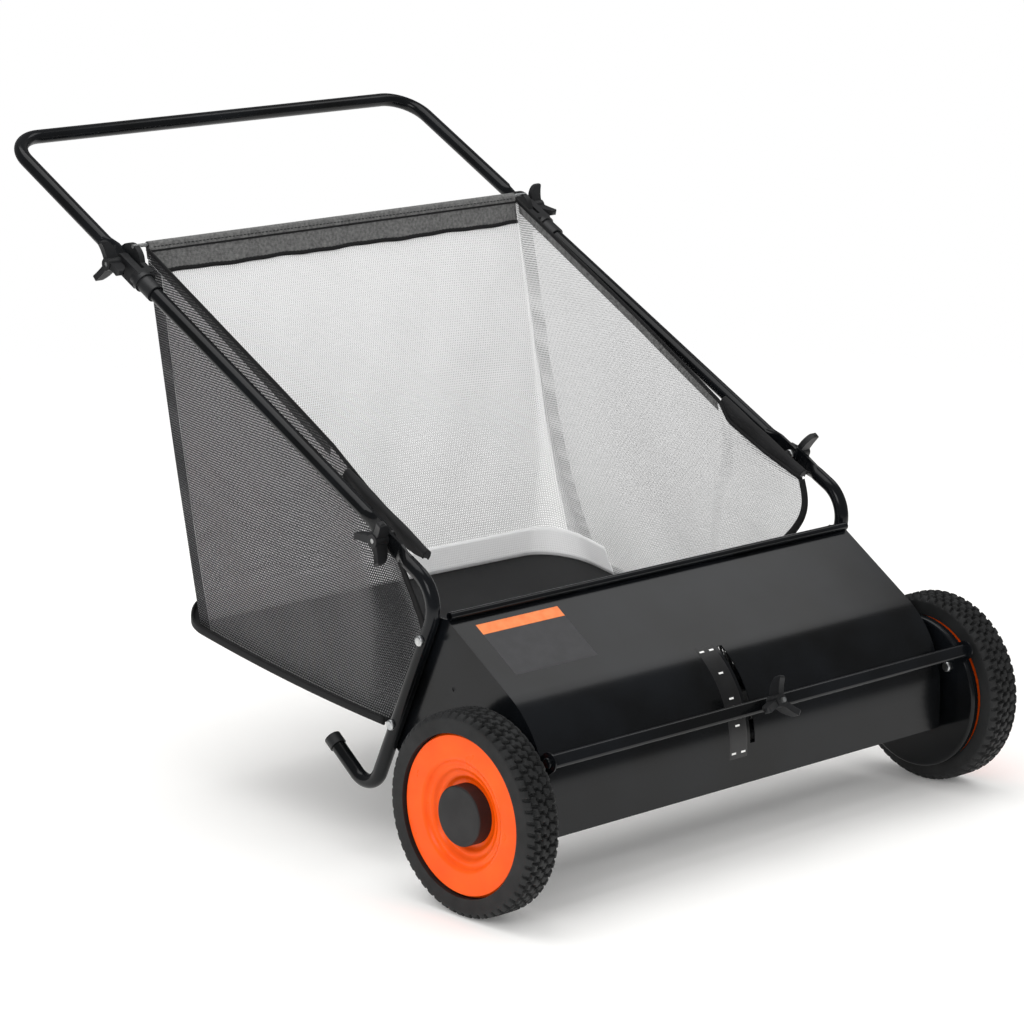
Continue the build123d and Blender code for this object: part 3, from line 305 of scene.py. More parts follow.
# %% [markdown]
# ## Cloth
# The bag is an open plain weave, dark on the outside. Its inner face is drawn near white as painted
# light, standing in for the light that fills the open bag. The weave needs real holes, because the dark
# floor of the bag shows through its sides. Threads run along the piece's own weave map, which holds
# metres, so the pitch of the threads is a true size. The real pitch is about 1.5 mm and would vanish at
# this distance, so the mesh is drawn at 3.2 mm, and the closed canvas and tape are drawn coarser in the same
# way.

# %% Weave as a material
MESH_PITCH = 3.2
CANVAS_PITCH = 2.4
TAPE_PITCH = 1.8
WEAVE_RELIEF = 0.8
HOLE_BLUR = 0.05
CLOTH_SHINE = 0.2
CLOTH_SHEEN = 0.04


def woven(name, color, pitch_mm, opening, depth_mm, roughness, shade, patch_mm=45.0):
    """Plain weave: two triangle waves cross; threads where either is low, holes where both are high."""
    material, tree, shader = start_material(name, color, roughness)
    weave = add_node(tree, "ShaderNodeUVMap", uv_map="weave")
    split = add_node(tree, "ShaderNodeSeparateXYZ", [(0, weave.outputs["UV"])])
    waves = []
    for axis in ("X", "Y"):
        turn_in = [(0, split.outputs[axis]), (1, per_metre(pitch_mm))]
        turn = add_node(tree, "ShaderNodeMath", turn_in, operation="MULTIPLY")
        wave_in = [(0, turn.outputs[0]), (1, 0.5)]
        waves.append(add_node(tree, "ShaderNodeMath", wave_in, operation="PINGPONG"))
    both_in = [(0, waves[0].outputs[0]), (1, waves[1].outputs[0])]
    both = add_node(tree, "ShaderNodeMath", both_in, operation="MINIMUM")
    bump_in = [("Strength", WEAVE_RELIEF), ("Distance", depth_mm * MM), ("Height", both.outputs[0])]
    bump = add_node(tree, "ShaderNodeBump", bump_in, invert=True)
    tree.links.new(bump.outputs["Normal"], shader.inputs["Normal"])
    where = add_node(tree, "ShaderNodeTexCoord")
    noise_in = [("Vector", where.outputs["Object"]), ("Scale", per_metre(patch_mm)), ("Detail", 6.0)]
    noise = add_node(tree, "ShaderNodeTexNoise", noise_in)
    mix_in = [("Factor", noise.outputs["Fac"]), (6, linear(color)), (7, linear(shade))]
    mix = add_node(tree, "ShaderNodeMix", mix_in, data_type="RGBA")
    tree.links.new(mix.outputs[2], shader.inputs["Base Color"])
    if opening:
        edge_in = [("Value", both.outputs[0]), ("To Min", 1.0), ("To Max", 0.0)]
        edge_in += [("From Min", opening - HOLE_BLUR), ("From Max", opening + HOLE_BLUR)]
        edge = add_node(tree, "ShaderNodeMapRange", edge_in)
        tree.links.new(edge.outputs["Result"], shader.inputs["Alpha"])
    shader.inputs["Specular IOR Level"].default_value = CLOTH_SHINE
    shader.inputs["Sheen Weight"].default_value = CLOTH_SHEEN
    shader.inputs["Sheen Roughness"].default_value = 0.5
    return material


print("mesh drawn at", MESH_PITCH, "mm, canvas at", CANVAS_PITCH, "mm")

# %% Woven materials
# From outside the walls look dark and sheer: fine threads with light between them.
mesh_outside = woven("dark open weave", "262628", MESH_PITCH, 0.22, 0.5, 0.75, "343436")
# Painted light: the inner face is drawn near white, standing in for the light that fills the open bag.
painted_light_inside = woven("pale weave, painted light", "EBEBEB", MESH_PITCH, 0.22, 0.2, 0.7, "F6F6F6")
# The facing is painted light too: closed cloth in the same near white, an even pale band.
painted_light_facing = woven("pale facing, painted light", "F4F4F4", MESH_PITCH, 0.0, 0.6, 0.7, "FAFAFA", 20.0)
# Two layers of dark weave folded together give a speckled grey band.
hem_weave = woven("doubled dark weave", "161617", CANVAS_PITCH, 0.0, 0.8, 0.8, "8C8C8B", 4.0)
# At the seams a second layer closes most of the holes, so they look darker than the walls.
seam_weave = woven("doubled seam weave", "29292B", MESH_PITCH, 0.29, 0.5, 0.75, "38383A")
# Coated canvas is closed, black and almost without shine.
canvas = woven("black coated canvas", "1A1A1B", CANVAS_PITCH, 0.0, 0.4, 0.7, "242425")
# Binding tape is tightly woven and a little smoother, so it draws a crisp dark line.
tape = woven("black binding tape", "141415", TAPE_PITCH, 0.0, 0.4, 0.65, "1F1F20")
print("walls:", mesh_outside.name, "outside,", painted_light_inside.name, "inside")

# %% [markdown]
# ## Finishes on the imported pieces
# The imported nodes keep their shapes. Each takes the finish of its slot in the record, and the hub
# caps get their duller face.

# %% Give the nodes their finishes
FINISHES = {
    "black_enamel": black_enamel,
    "zinc_steel": zinc_steel,
    "orange_rim": orange_rim,
    "tyre_rubber": tyre_rubber,
    "black_nylon": black_nylon,
    "bag_mesh": mesh_outside,
    "bag_canvas": canvas,
    "bristle": bristle,
}
for part in frame["record"]["subparts"]:
    node = frame["nodes"][part["node"]]
    finish = cap_nylon if "hub_cap" in part["node"] else FINISHES[part["material_slot"]]
    for slot in node.material_slots:
        slot.material = finish

# %% [markdown]
# ## Camera
# The picture to match looks at the machine from its front left, a little above its middle. A long
# lens from nearly five metres keeps the far wheel almost as large as the near one.

# %% Camera
CAMERA_TURN = np.radians(-42.82)
CAMERA_RISE = np.radians(13.02)
CAMERA_DISTANCE = 4.7703
CAMERA_LENS = 133.45
CAMERA_SENSOR = 36.0
AIM = Vector((-0.00749, -0.06354, 0.34848))
level = np.cos(CAMERA_RISE)
back = Vector((np.sin(CAMERA_TURN) * level, -np.cos(CAMERA_TURN) * level, np.sin(CAMERA_RISE)))
camera_data = bpy.data.cameras.new("studio camera")
camera_data.lens = CAMERA_LENS
camera_data.sensor_width = CAMERA_SENSOR
camera = bpy.data.objects.new("studio camera", camera_data)
bpy.context.scene.collection.objects.link(camera)
camera.location = AIM + back * CAMERA_DISTANCE
camera.rotation_euler = (-back).to_track_quat("-Z", "Y").to_euler()
bpy.context.scene.camera = camera
bpy.context.scene.view_settings.view_transform = "Standard"
print("camera at", [round(c, 3) for c in camera.location])

# %% [markdown]
# ## Studio
# A white table catches the shadow and fades into a white surround, so no horizon line shows. The
# table glows a little, like the lit acrylic sheets that products are photographed on. The surround
# is white to the eye and dark in reflections, because gloss black shows whatever stands round it.
# Three soft lamps do the rest: one above, one from the left, and one from the right that draws the
# long sheen on the cover's slope.

# %% White table
FLOOR_R = 3.4
FLOOR_FADE = (1.0, FLOOR_R * 0.95)
FLOOR_GLOW = 0.09
FLOOR_RINGS = 30
FLOOR_SPOKES = 96
ring = np.linspace(0, 2 * np.pi, FLOOR_SPOKES + 1)[:-1]
radius = np.linspace(0, FLOOR_R, FLOOR_RINGS)[:, None]
floor_points = [radius * np.cos(ring), radius * np.sin(ring), np.zeros((FLOOR_RINGS, FLOOR_SPOKES))]
floor_points = np.stack(floor_points, axis=-1).reshape(-1, 3)
floor_faces = grid_faces(FLOOR_RINGS, FLOOR_SPOKES, False, True)
floor_mesh = bpy.data.meshes.new("studio_floor")
floor_mesh.from_pydata(floor_points.tolist(), [], floor_faces.tolist())
floor = bpy.data.objects.new("studio_floor", floor_mesh)
bpy.context.scene.collection.objects.link(floor)

# Lit acrylic looks evenly white, takes a soft shadow and fades out towards its rim.
floor_paint, tree, shader = start_material("lit white acrylic", "F8F7F5", 0.9)
shader.inputs["Specular IOR Level"].default_value = 0.1
shader.inputs["Emission Color"].default_value = (1.0, 1.0, 1.0, 1.0)
shader.inputs["Emission Strength"].default_value = FLOOR_GLOW
where = add_node(tree, "ShaderNodeTexCoord")
reach = add_node(tree, "ShaderNodeVectorMath", [(0, where.outputs["Object"])], operation="LENGTH")
fade_in = [("From Min", FLOOR_FADE[0]), ("From Max", FLOOR_FADE[1]), ("To Min", 1.0), ("To Max", 0.0)]
fade_in += [("Value", reach.outputs["Value"])]
fade = add_node(tree, "ShaderNodeMapRange", fade_in, interpolation_type="SMOOTHSTEP")
tree.links.new(fade.outputs["Result"], shader.inputs["Alpha"])
floor_mesh.materials.append(floor_paint)
print("table", 2 * FLOOR_R, "m across, clear up to", FLOOR_FADE[0], "m from its middle")

# %% Surround and lamps
FILL = 0.9
REFLECTED = 0.2
world = bpy.data.worlds.new("white surround")
world.use_nodes = True
bpy.context.scene.world = world
tree = world.node_tree
background = tree.nodes["Background"]
background.inputs["Color"].default_value = (1.0, 1.0, 1.0, 1.0)
path = add_node(tree, "ShaderNodeLightPath")
seen_in = [(0, path.outputs["Is Camera Ray"]), (1, path.outputs["Is Transmission Ray"])]
seen = add_node(tree, "ShaderNodeMath", seen_in, operation="MAXIMUM")
direct_in = [("Value", seen.outputs[0]), ("To Min", FILL), ("To Max", 1.0)]
direct = add_node(tree, "ShaderNodeMapRange", direct_in)
mirror_in = [("Value", path.outputs["Is Glossy Ray"]), ("To Max", REFLECTED)]
mirror = add_node(tree, "ShaderNodeMapRange", mirror_in + [("To Min", direct.outputs["Result"])])
tree.links.new(mirror.outputs["Result"], background.inputs["Strength"])


def lamp(name, spot, aim, size, power):
    """A square soft lamp at a spot, turned to its aim."""
    data = bpy.data.lights.new(name, "AREA")
    data.energy = power
    data.size = size
    made = bpy.data.objects.new(name, data)
    made.location = spot
    made.rotation_euler = (Vector(aim) - Vector(spot)).to_track_quat("-Z", "Y").to_euler()
    bpy.context.scene.collection.objects.link(made)
    print(name, power, "W", size, "m wide")


lamp("top softbox", (-0.5, 0.5, 3.2), (0.0, 0.0, 0.2), 2.4, 36.0)
lamp("left softbox", (-3.0, -1.6, 2.0), (0.0, 0.0, 0.3), 1.4, 22.0)
lamp("right softbox", (2.5, -0.18, 3.2), (0.0, -0.4, 0.3), 1.3, 8.5)

# %% [markdown]
# ## Tyres
# A blow-moulded tyre has smooth walls and a tread of staggered blocks that wrap over the shoulders.
# The solid is a plain ring, so the tread is made here: a closed profile turned round the axle, and
# pushed in where a groove runs. Cutting hundreds of blocks would do it too, but one height function
# gives all the grooves at once and keeps their edges soft, as rubber is.

# %% Tyre profile
TYRE_HALF = 24.0
TYRE_BORE = 96.2
TYRE_ROUND = 9.0
TREAD_STEPS = 16
ROUND_STEPS = 12
WALL_POINTS = 7


def soft_step(value, low, high):
    """Smooth step: 0 below low, 1 above high, a cubic between."""
    t = np.clip((value - low) / (high - low), 0, 1)
    return t * t * (3 - 2 * t)


def tyre_section():
    """Closed profile: place across, radius, and signed distance along the skin from the tread's middle."""
    flat = TYRE_HALF - TYRE_ROUND
    tread = np.linspace(0, flat, TREAD_STEPS + 1)[:-1]
    turn = np.linspace(0, np.pi / 2, ROUND_STEPS + 1)[:-1]
    wall = np.linspace(TYRE_R - TYRE_ROUND, TYRE_BORE, WALL_POINTS)
    across = np.concatenate([tread, flat + TYRE_ROUND * np.sin(turn), np.full_like(wall, TYRE_HALF)])
    round_r = TYRE_R - TYRE_ROUND * (1 - np.cos(turn))
    out = np.concatenate([np.full_like(tread, TYRE_R), round_r, wall])
    skin = np.concatenate([tread, flat + TYRE_ROUND * turn, flat + TYRE_ROUND * np.pi / 2 + wall[0] - wall])
    across = np.concatenate([-across[:0:-1], across])
    out = np.concatenate([out[:0:-1], out])
    skin = np.concatenate([-skin[:0:-1], skin])
    return across, out, skin


print("the profile has", len(tyre_section()[0]), "points")

# %% Tread as a height function
TREAD_BLOCKS = 56
GROOVE_WIDTH = 0.26
GROOVE_EDGE = (0.16, 0.1)
ROW_EDGES = (6.0, 15.0)
ROW_WAVE = 1.1
ROW_SHIFT = 0.5
SIDE_SHIFT = 0.25
LINE_EDGE = (0.5, 1.7)
BLOCK_SLANT = 0.016
SHOULDER = (18.0, 27.0)
SHOULDER_FADE = 3.0


def tread_groove(skin, turn):
    """Share of groove: gaps between blocks, shifted from row to row, and wavy lines between the rows."""
    side = np.abs(skin)
    wave = ROW_WAVE * np.sin(turn * TREAD_BLOCKS)
    row = (side > ROW_EDGES[0] + wave).astype(float) + (side > ROW_EDGES[1] - wave)
    slant = BLOCK_SLANT * skin
    block = turn * TREAD_BLOCKS / (2 * np.pi)
    beat = np.mod(block + ROW_SHIFT * row + slant + SIDE_SHIFT * (skin > 0), 1.0)
    gap = np.abs(beat - 0.5) * 2
    cross = soft_step(gap, 1 - GROOVE_WIDTH - GROOVE_EDGE[0], 1 - GROOVE_WIDTH + GROOVE_EDGE[1])
    first = 1 - soft_step(np.abs(side - ROW_EDGES[0] - wave), *LINE_EDGE)
    second = 1 - soft_step(np.abs(side - ROW_EDGES[1] + wave), *LINE_EDGE)
    groove = np.maximum(cross, np.maximum(first, second))
    return groove * (1 - soft_step(side, SHOULDER[1] - SHOULDER_FADE, SHOULDER[1]))


groove_share = tread_groove(*np.meshgrid(np.linspace(-15, 15, 61), np.linspace(0, 1, 500))).mean()
print("grooves take", round(float(groove_share), 2), "of the tread")

# %% Tyres with tread
STEPS_PER_BLOCK = 14
GROOVE_DEPTH = 4.0
SHOULDER_SHALLOW = 0.6
SHOULDER_INWARD = 0.5


def tyre(name, node, body, sign):
    """Tyre skin: the profile turned round the axle, less the groove depth; the bore closes it."""
    across, out, skin = tyre_section()
    turn = np.linspace(0, 2 * np.pi, TREAD_BLOCKS * STEPS_PER_BLOCK + 1)[:-1, None]
    groove = tread_groove(skin[None, :], turn * sign)
    lean = soft_step(np.abs(skin), *SHOULDER)[None, :]
    depth = GROOVE_DEPTH * groove
    r = out[None, :] - depth * (1 - SHOULDER_SHALLOW * lean)
    inward = np.sign(skin)[None, :] * depth * SHOULDER_INWARD * lean
    x = sign * WHEEL_X + across[None, :] - inward
    y = r * np.cos(turn)
    z = AXLE_Z / MM + r * np.sin(turn)
    faces = grid_faces(len(turn), len(across), True, True)
    piece = make_piece(name, place(x, y, z), faces, body, [tyre_rubber], sharp=50)
    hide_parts(node)


tyre("left_tread_tyre", "left_tyre", "left_wheel", -1)
tyre("right_tread_tyre", "right_tyre", "right_wheel", 1)
print("each tyre has", TREAD_BLOCKS, "blocks to a row")

# %% [markdown]
# ## Brush filaments
# Each strip of the brush is a row of cut filaments pressed into its rail. A solid wedge stands for
# them in the frame. Here each filament is a thin three-sided rod with a slight bend, and all the
# rods of a strip are worked out together: root, tip and bend are arrays, one row for each rod.

# %% Size of the brush
shaft_low, shaft_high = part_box("brush_shaft")
BRUSH_Y = ((shaft_low[1] + shaft_high[1]) / 2 - AXLE_Y) / MM
BRUSH_Z = (shaft_low[2] + shaft_high[2]) / 2 / MM
strip_low, strip_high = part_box("bristle_strip_1")
STRIP_HALF = strip_high[0] / MM
BRUSH_R = (strip_high[1] - AXLE_Y) / MM - BRUSH_Y
ROOT_R = (strip_low[1] - AXLE_Y) / MM - BRUSH_Y
print("brush", round(2 * BRUSH_R, 1), "mm across and", round(2 * STRIP_HALF, 1), "mm long")

# %% Brush filaments
STRIPS = 6
STRIP_RODS = 1300
STRIP_SEED = 100
ROOT_HALF = 3.2
ROOT_MARGIN = 2.0
TIP_HALF = 7.2
TIP_MARGIN = 1.0
TIP_DRIFT = 2.5
TIP_SHORT = (0.2, 3.0)
ROD_RINGS = 4
ROD_SIDES = 3
ROD_THICK = 0.55
ROD_TAPER = 0.3


def filaments(number, angle):
    """Rods from root to tip in one strip: each bends as a square of its height, three corners round it."""
    chance = np.random.default_rng(STRIP_SEED + number)
    root_x = chance.uniform(-STRIP_HALF + ROOT_MARGIN, STRIP_HALF - ROOT_MARGIN, STRIP_RODS)
    spread = chance.uniform(-1, 1, STRIP_RODS)
    tip_x = root_x + chance.normal(0, TIP_DRIFT, STRIP_RODS)
    tip_x = np.clip(tip_x, -STRIP_HALF + TIP_MARGIN, STRIP_HALF - TIP_MARGIN)
    tip_r = BRUSH_R - chance.uniform(*TIP_SHORT, STRIP_RODS)
    share = np.linspace(0, 1, ROD_RINGS)[None, :]
    x = root_x[:, None] + (tip_x - root_x)[:, None] * share**2
    r = ROOT_R + (tip_r - ROOT_R)[:, None] * share
    t = spread[:, None] * (ROOT_HALF + (TIP_HALF - ROOT_HALF) * share**2)
    corner = np.arange(ROD_SIDES) * 2 * np.pi / ROD_SIDES
    thick = ROD_THICK * (1 - ROD_TAPER * share)
    x = x[:, :, None] + thick[:, :, None] * np.cos(corner)
    t = t[:, :, None] + thick[:, :, None] * np.sin(corner)
    r = np.broadcast_to(r[:, :, None], x.shape)
    y = BRUSH_Y + r * np.cos(angle) - t * np.sin(angle)
    z = BRUSH_Z + r * np.sin(angle) + t * np.cos(angle)
    rod = grid_faces(ROD_RINGS, ROD_SIDES, False, True)
    last = (ROD_RINGS - 1) * ROD_SIDES
    ends = np.array([[0, 1, 2], [last, last + 2, last + 1]])
    start = np.arange(STRIP_RODS)[:, None, None] * ROD_RINGS * ROD_SIDES
    tube = (rod[None] + start).reshape(-1, 4)
    caps = (ends[None] + start).reshape(-1, 3)
    tube = np.concatenate([tube[:, [0, 1, 2]], tube[:, [0, 2, 3]]])
    faces = np.concatenate([tube, caps])
    name = f"filament_strip_{number}"
    piece = make_piece(name, place(x, y, z), faces, "brush", [bristle], sharp=60)
    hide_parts(f"bristle_strip_{number}")


for strip in range(STRIPS):
    filaments(strip + 1, strip * 2 * np.pi / STRIPS)
print("brush of", STRIPS * STRIP_RODS, "filaments")

# %% [markdown]
# ## Mesh bag
# The bag hangs from a rod between the hinge clamps and from two short rods beside the handle. Its
# sides and back are one long strip of open weave that stands on a canvas floor. The strip is a
# loft: for every place along it there is a point on the lower rim and one on the upper rim, and the
# cloth runs from one to the other. It bows out a little and carries soft folds. Cloth isn't
# symmetrical: the left front edge hangs slack and is turned in. The right one is drawn forward, and
# the right top edge lies below the flap.

# %% Rims of the bag
LEFT_TOP = ((160.0, 374.0), (304.0, 463.0), (697.0, 677.0))
RIGHT_FRONT_TOP = ((160.0, 374.0), (224.0, 399.0), (290.0, 430.0), (306.0, 453.0))
RIGHT_TOP = (*RIGHT_FRONT_TOP, (454.0, 541.0), (697.0, 677.0))
BAG_BOTTOM = ((236.0, 160.0), (407.0, 177.0), (617.0, 210.0))
WALL_REAR = 606.0
BACK_SHARE = 0.37
CORNER_SHARE = 0.08
lower_line = np.polyfit(*np.transpose(BAG_BOTTOM), 2)


def rim(u, corner, rear_y, front_y):
    """Plan of a rim: a straight back, a round corner, a straight side; u is 0 mid-back, 1 and -1 in front."""
    a = np.abs(u)
    back = np.clip(a / BACK_SHARE, 0, 1)
    turn = np.clip((a - BACK_SHARE) / CORNER_SHARE, 0, 1) * np.pi / 2
    run = np.clip((a - BACK_SHARE - CORNER_SHARE) / (1 - BACK_SHARE - CORNER_SHARE), 0, 1)
    x = back * (BAG_HALF - corner) + corner * np.sin(turn)
    y = rear_y - corner * (1 - np.cos(turn)) - run * (rear_y - corner - front_y)
    return np.sign(u) * x, y, turn


print("the lower rim falls", round(BAG_BOTTOM[2][1] - BAG_BOTTOM[0][1]), "mm from the rear to the front")

# %% Shift of the front edges
LEFT_SLACK = 68.0
SLACK_RISE = (0.42, 0.9)
LEFT_BULGE = 6.0
BULGE_TOP = 0.45
RIGHT_DRAW = 19.0
DRAW_FROM = 0.6
PULL_FROM = 0.7


def front_pull(u, v):
    """Shift of the front edge, back on the left where it hangs slack and forward on the right."""
    bulge = LEFT_BULGE * np.sin(np.pi * np.clip(v / BULGE_TOP, 0, 1))
    slack = LEFT_SLACK * soft_step(v, *SLACK_RISE) - bulge
    drawn = -RIGHT_DRAW * np.sin(np.pi * np.clip((v - DRAW_FROM) / (1 - DRAW_FROM), 0, 1))
    return np.where(u < 0, slack, drawn) * soft_step(np.abs(u), PULL_FROM, 1.0)


print("the left front edge hangs back", float(front_pull(-1.0, 1.0).round(1)), "mm at its top")

# %% Surface of the walls
BOTTOM_LEAN = 3.5
CORNER_LOW = (8.0, 70.0)
CORNER_HIGH = 2.0
CORNER_CALM = 0.07
FRONT_CALM = 0.9
WALL_BOW = 5.0
WIDE_FOLD = 1.8
WIDE_WAVE = (19.0, 4.0)
FINE_FOLD = 1.2
FINE_WAVE = (37.0, -7.0, 1.3)
LEFT_TURN = 24.0
TURN_FROM = (0.925, 0.985)
SLACK_LIFT = 0.5


def bag_wall(u, v):
    """Wall point: a line from lower to upper rim, a bow of sin(pi v), and folds that die out upwards."""
    round_low = CORNER_HIGH + (np.where(u < 0, *CORNER_LOW) - CORNER_HIGH) * (1 - v) ** 3
    low_x, low_y, low_turn = rim(u, round_low, WALL_REAR, BAG_BOTTOM[0][0])
    low_z = np.polyval(lower_line, low_y) - BOTTOM_LEAN * low_x / BAG_HALF
    top_x, top_y, _ = rim(u, CORNER_HIGH, LEFT_TOP[2][0], LEFT_TOP[0][0])
    left_z = np.interp(top_y, *np.transpose(LEFT_TOP))
    top_z = np.where(u < 0, left_z, np.interp(top_y, *np.transpose(RIGHT_TOP)))
    bow = np.sin(np.pi * v)
    corner = np.exp(-(((np.abs(u) - BACK_SHARE - CORNER_SHARE / 2) / CORNER_CALM) ** 2))
    front = soft_step(np.abs(u), FRONT_CALM, 1.0)
    folds = WIDE_FOLD * np.sin(WIDE_WAVE[0] * u + WIDE_WAVE[1] * v)
    folds = folds + FINE_FOLD * np.sin(FINE_WAVE[0] * u + FINE_WAVE[1] * v + FINE_WAVE[2])
    out = (WALL_BOW + folds * (1 - v)) * bow * (1 - corner) * (1 - front)
    turned_in = LEFT_TURN * (u < 0) * soft_step(np.abs(u), *TURN_FROM) * bow
    pull = front_pull(u, v)
    x = low_x + (top_x - low_x) * v + np.sign(u) * (np.sin(low_turn) * out - turned_in)
    y = low_y + (top_y - low_y) * v + np.cos(low_turn) * out + pull
    z = low_z + (top_z - low_z) * v + SLACK_LIFT * np.clip(pull, 0, None) * v
    return place(x, y, z)


print("top edge at the rear", bag_wall(np.zeros(1), np.ones(1)).round(4)[0])

# %% Walls of the bag
WALL_COLUMNS = 320
WALL_ROWS = 64
CLOTH_T = 0.6


def hung_cloth(name, grid, faces, finishes, thick_mm):
    """A grid of cloth on the lower handle, thickened inwards; a second finish goes on its inner face."""
    piece = make_piece(name, grid, faces, "lower_handle", finishes, grid_lengths(grid))
    solid = piece.modifiers.new("cloth thickness", "SOLIDIFY")
    solid.thickness = thick_mm * MM
    solid.offset = -1.0
    solid.material_offset = len(finishes) - 1
    solid.material_offset_rim = len(finishes) - 1
    return piece


u_line = np.linspace(-1, 1, WALL_COLUMNS)[None, :]
v_line = np.linspace(0, 1, WALL_ROWS)[:, None]
wall_grid = bag_wall(u_line, v_line)
wall_faces = grid_faces(WALL_ROWS, WALL_COLUMNS)
# The inner face of the walls is near white: painted light for the inside of the bag.
wall_finishes = [mesh_outside, painted_light_inside]
bag_walls = hung_cloth("bag_walls", wall_grid, wall_faces, wall_finishes, CLOTH_T)
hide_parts("left_bag_panel", "right_bag_panel", "bag_back_panel")

# %% [markdown]
# ## Doubled edges of the walls
# Where the back is sewn to the sides, the weave lies double for two fingers' width. Two layers close
# most of the holes, so the strips look darker than the walls from outside, while their inner face has
# the same pale painted light as the walls. Along the top of each side the edge is turned in and sewn
# down, which gives a dark strip below the tube. A closed strip faces the foot of the back and its corners,
# so the lip of the floor doesn't show through; its inner face is pale painted light too. Every strip is the
# wall's own surface, moved off it by a hair.

# %% Doubled strips at the rear seams
SEAM_SPAN = (BACK_SHARE + CORNER_SHARE * 0.7, 0.478)
SEAM_COLUMNS = 30
SEAM_LIFT = 0.9
STRIP_T = 0.4
strips = []


def sew_strip(name, grid, faces, finishes):
    """A thin strip of cloth on the walls, kept in the list of strips."""
    strips.append(hung_cloth(name, grid, faces, finishes, STRIP_T))


seam_u = np.linspace(*SEAM_SPAN, SEAM_COLUMNS)[None, :]
seam_faces = grid_faces(WALL_ROWS - 2, SEAM_COLUMNS)
for label, run in (("left", -seam_u[:, ::-1]), ("right", seam_u)):
    seam_grid = bag_wall(run, v_line[:-2])
    seam_grid[..., 0] += np.sign(run) * SEAM_LIFT * MM
    sew_strip(f"{label}_rear_seam", seam_grid, seam_faces, [seam_weave, painted_light_inside])
print("seam strips", round(row_length(seam_grid[0]) / MM), "mm wide")

# %% Turned-in top edges of the sides
EDGE_SPAN = (0.455, 0.845)
EDGE_H = 15.0
EDGE_ROWS = 10
EDGE_COLUMNS = 80
NEAR_TOP = 0.98
INSIDE_LIFT = CLOTH_T + 0.3
edge_u = np.linspace(*EDGE_SPAN, EDGE_COLUMNS)[None, :]
edge_down = np.linspace(EDGE_H, 0, EDGE_ROWS)[:, None, None] * MM
edge_faces = grid_faces(EDGE_ROWS, EDGE_COLUMNS)
for label, sign in (("left", -1), ("right", 1)):
    top = bag_wall(sign * edge_u, np.ones((1, 1)))
    way = bag_wall(sign * edge_u, np.full((1, 1), NEAR_TOP)) - top
    way = way / np.linalg.norm(way, axis=-1, keepdims=True)
    edge_grid = top + way * edge_down
    edge_grid[..., 0] -= sign * INSIDE_LIFT * MM
    turned = edge_faces if sign < 0 else edge_faces[:, ::-1]
    sew_strip(f"{label}_top_edge", edge_grid, turned, [hem_weave])
print("turned-in edges", EDGE_H, "mm wide")

# %% Facing along the floor seam
FACING_SPAN = (-0.47, 0.52)
FACING_RISE = (0.002, 0.075)
FACING_ROWS = 8
FACING_COLUMNS = 200
facing_u = np.linspace(*FACING_SPAN, FACING_COLUMNS)[None, :]
facing_grid = bag_wall(facing_u, np.linspace(*FACING_RISE, FACING_ROWS)[:, None])
facing_turn = rim(facing_u, 0.0, 0.0, 0.0)[2]
facing_grid[..., 0] -= np.sign(facing_u) * np.sin(facing_turn) * INSIDE_LIFT * MM
facing_grid[..., 1] -= np.cos(facing_turn) * INSIDE_LIFT * MM
# The facing's inner face is near white: painted light that keeps the foot of the inside evenly pale.
sew_strip("floor_facing", facing_grid, grid_faces(FACING_ROWS, FACING_COLUMNS), [canvas, painted_light_facing])
print("facing along the floor seam", round(row_length(facing_grid[0]), 3), "m long")

# %% [markdown]
# ## Floor of the bag
# The floor is a heavier black canvas, cut straight at the front and round at the rear corners. It
# reaches a little beyond the walls, so it shows as a lip, and it sags most in the middle.

# %% Shape of the bag's floor
FLOOR_OVER = 12.0
FLOOR_REAR = 642.0
FLOOR_CORNER = 60.0
FLOOR_SAG = 12.0
FLOOR_RIPPLE = 1.5
RIPPLE_WAVE = (9.0, 5.0)
LIP_RISE = 0.6


def floor_height(y):
    """Height of the floor's seam: the walls' lower line, turned up a little behind them."""
    end = BAG_BOTTOM[2][0]
    return np.polyval(lower_line, np.minimum(y, end)) + LIP_RISE * np.maximum(y - end, 0)


def floor_point(p, q):
    """Floor point: q runs from front to rear, p from side to side of the outline; it sags as a parabola."""
    y = BAG_BOTTOM[0][0] + (FLOOR_REAR - BAG_BOTTOM[0][0]) * q
    over = np.clip(y - (FLOOR_REAR - FLOOR_CORNER), 0, FLOOR_CORNER)
    half = BAG_HALF + FLOOR_OVER - FLOOR_CORNER + np.sqrt(FLOOR_CORNER**2 - over**2)
    sag = FLOOR_SAG + FLOOR_RIPPLE * np.sin(RIPPLE_WAVE[0] * p + RIPPLE_WAVE[1] * q)
    z = floor_height(y) - BOTTOM_LEAN * p - sag * (1 - p**2) * np.sin(np.pi * np.minimum(q, 1))
    return place(p * half, y, z)


print("rear edge of the floor at", floor_point(np.zeros(1), np.ones(1)).round(4)[0])

# %% Floor of the bag
FLOOR_ROWS = 60
FLOOR_COLUMNS = 81
FLOOR_T = 1.4
p_line = np.linspace(-1, 1, FLOOR_COLUMNS)[None, :]
q_line = np.sin(np.linspace(0, np.pi / 2, FLOOR_ROWS))[:, None]
floor_cloth = floor_point(p_line, q_line)
cloth_faces = grid_faces(FLOOR_ROWS, FLOOR_COLUMNS)[:, ::-1]
bag_floor = hung_cloth("bag_floor", floor_cloth, cloth_faces, [canvas], FLOOR_T)
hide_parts("bag_bottom_panel")

# %% [markdown]
# ## Binding
# Black tape is folded over the cut edges of the bag: round the floor, up the front edges and, in a
# narrower width, along the tops of the sides. Each tape is a flat oval carried along its edge, with
# the oval's long axis lying in the cloth.

# %% Tape along a path
TAPE_SIZE = (5.0, 1.8)
NARROW_TAPE_SIZE = (2.6, 1.5)
OVAL_POINTS = 16
OVAL_POWERS = (0.5, 0.7)


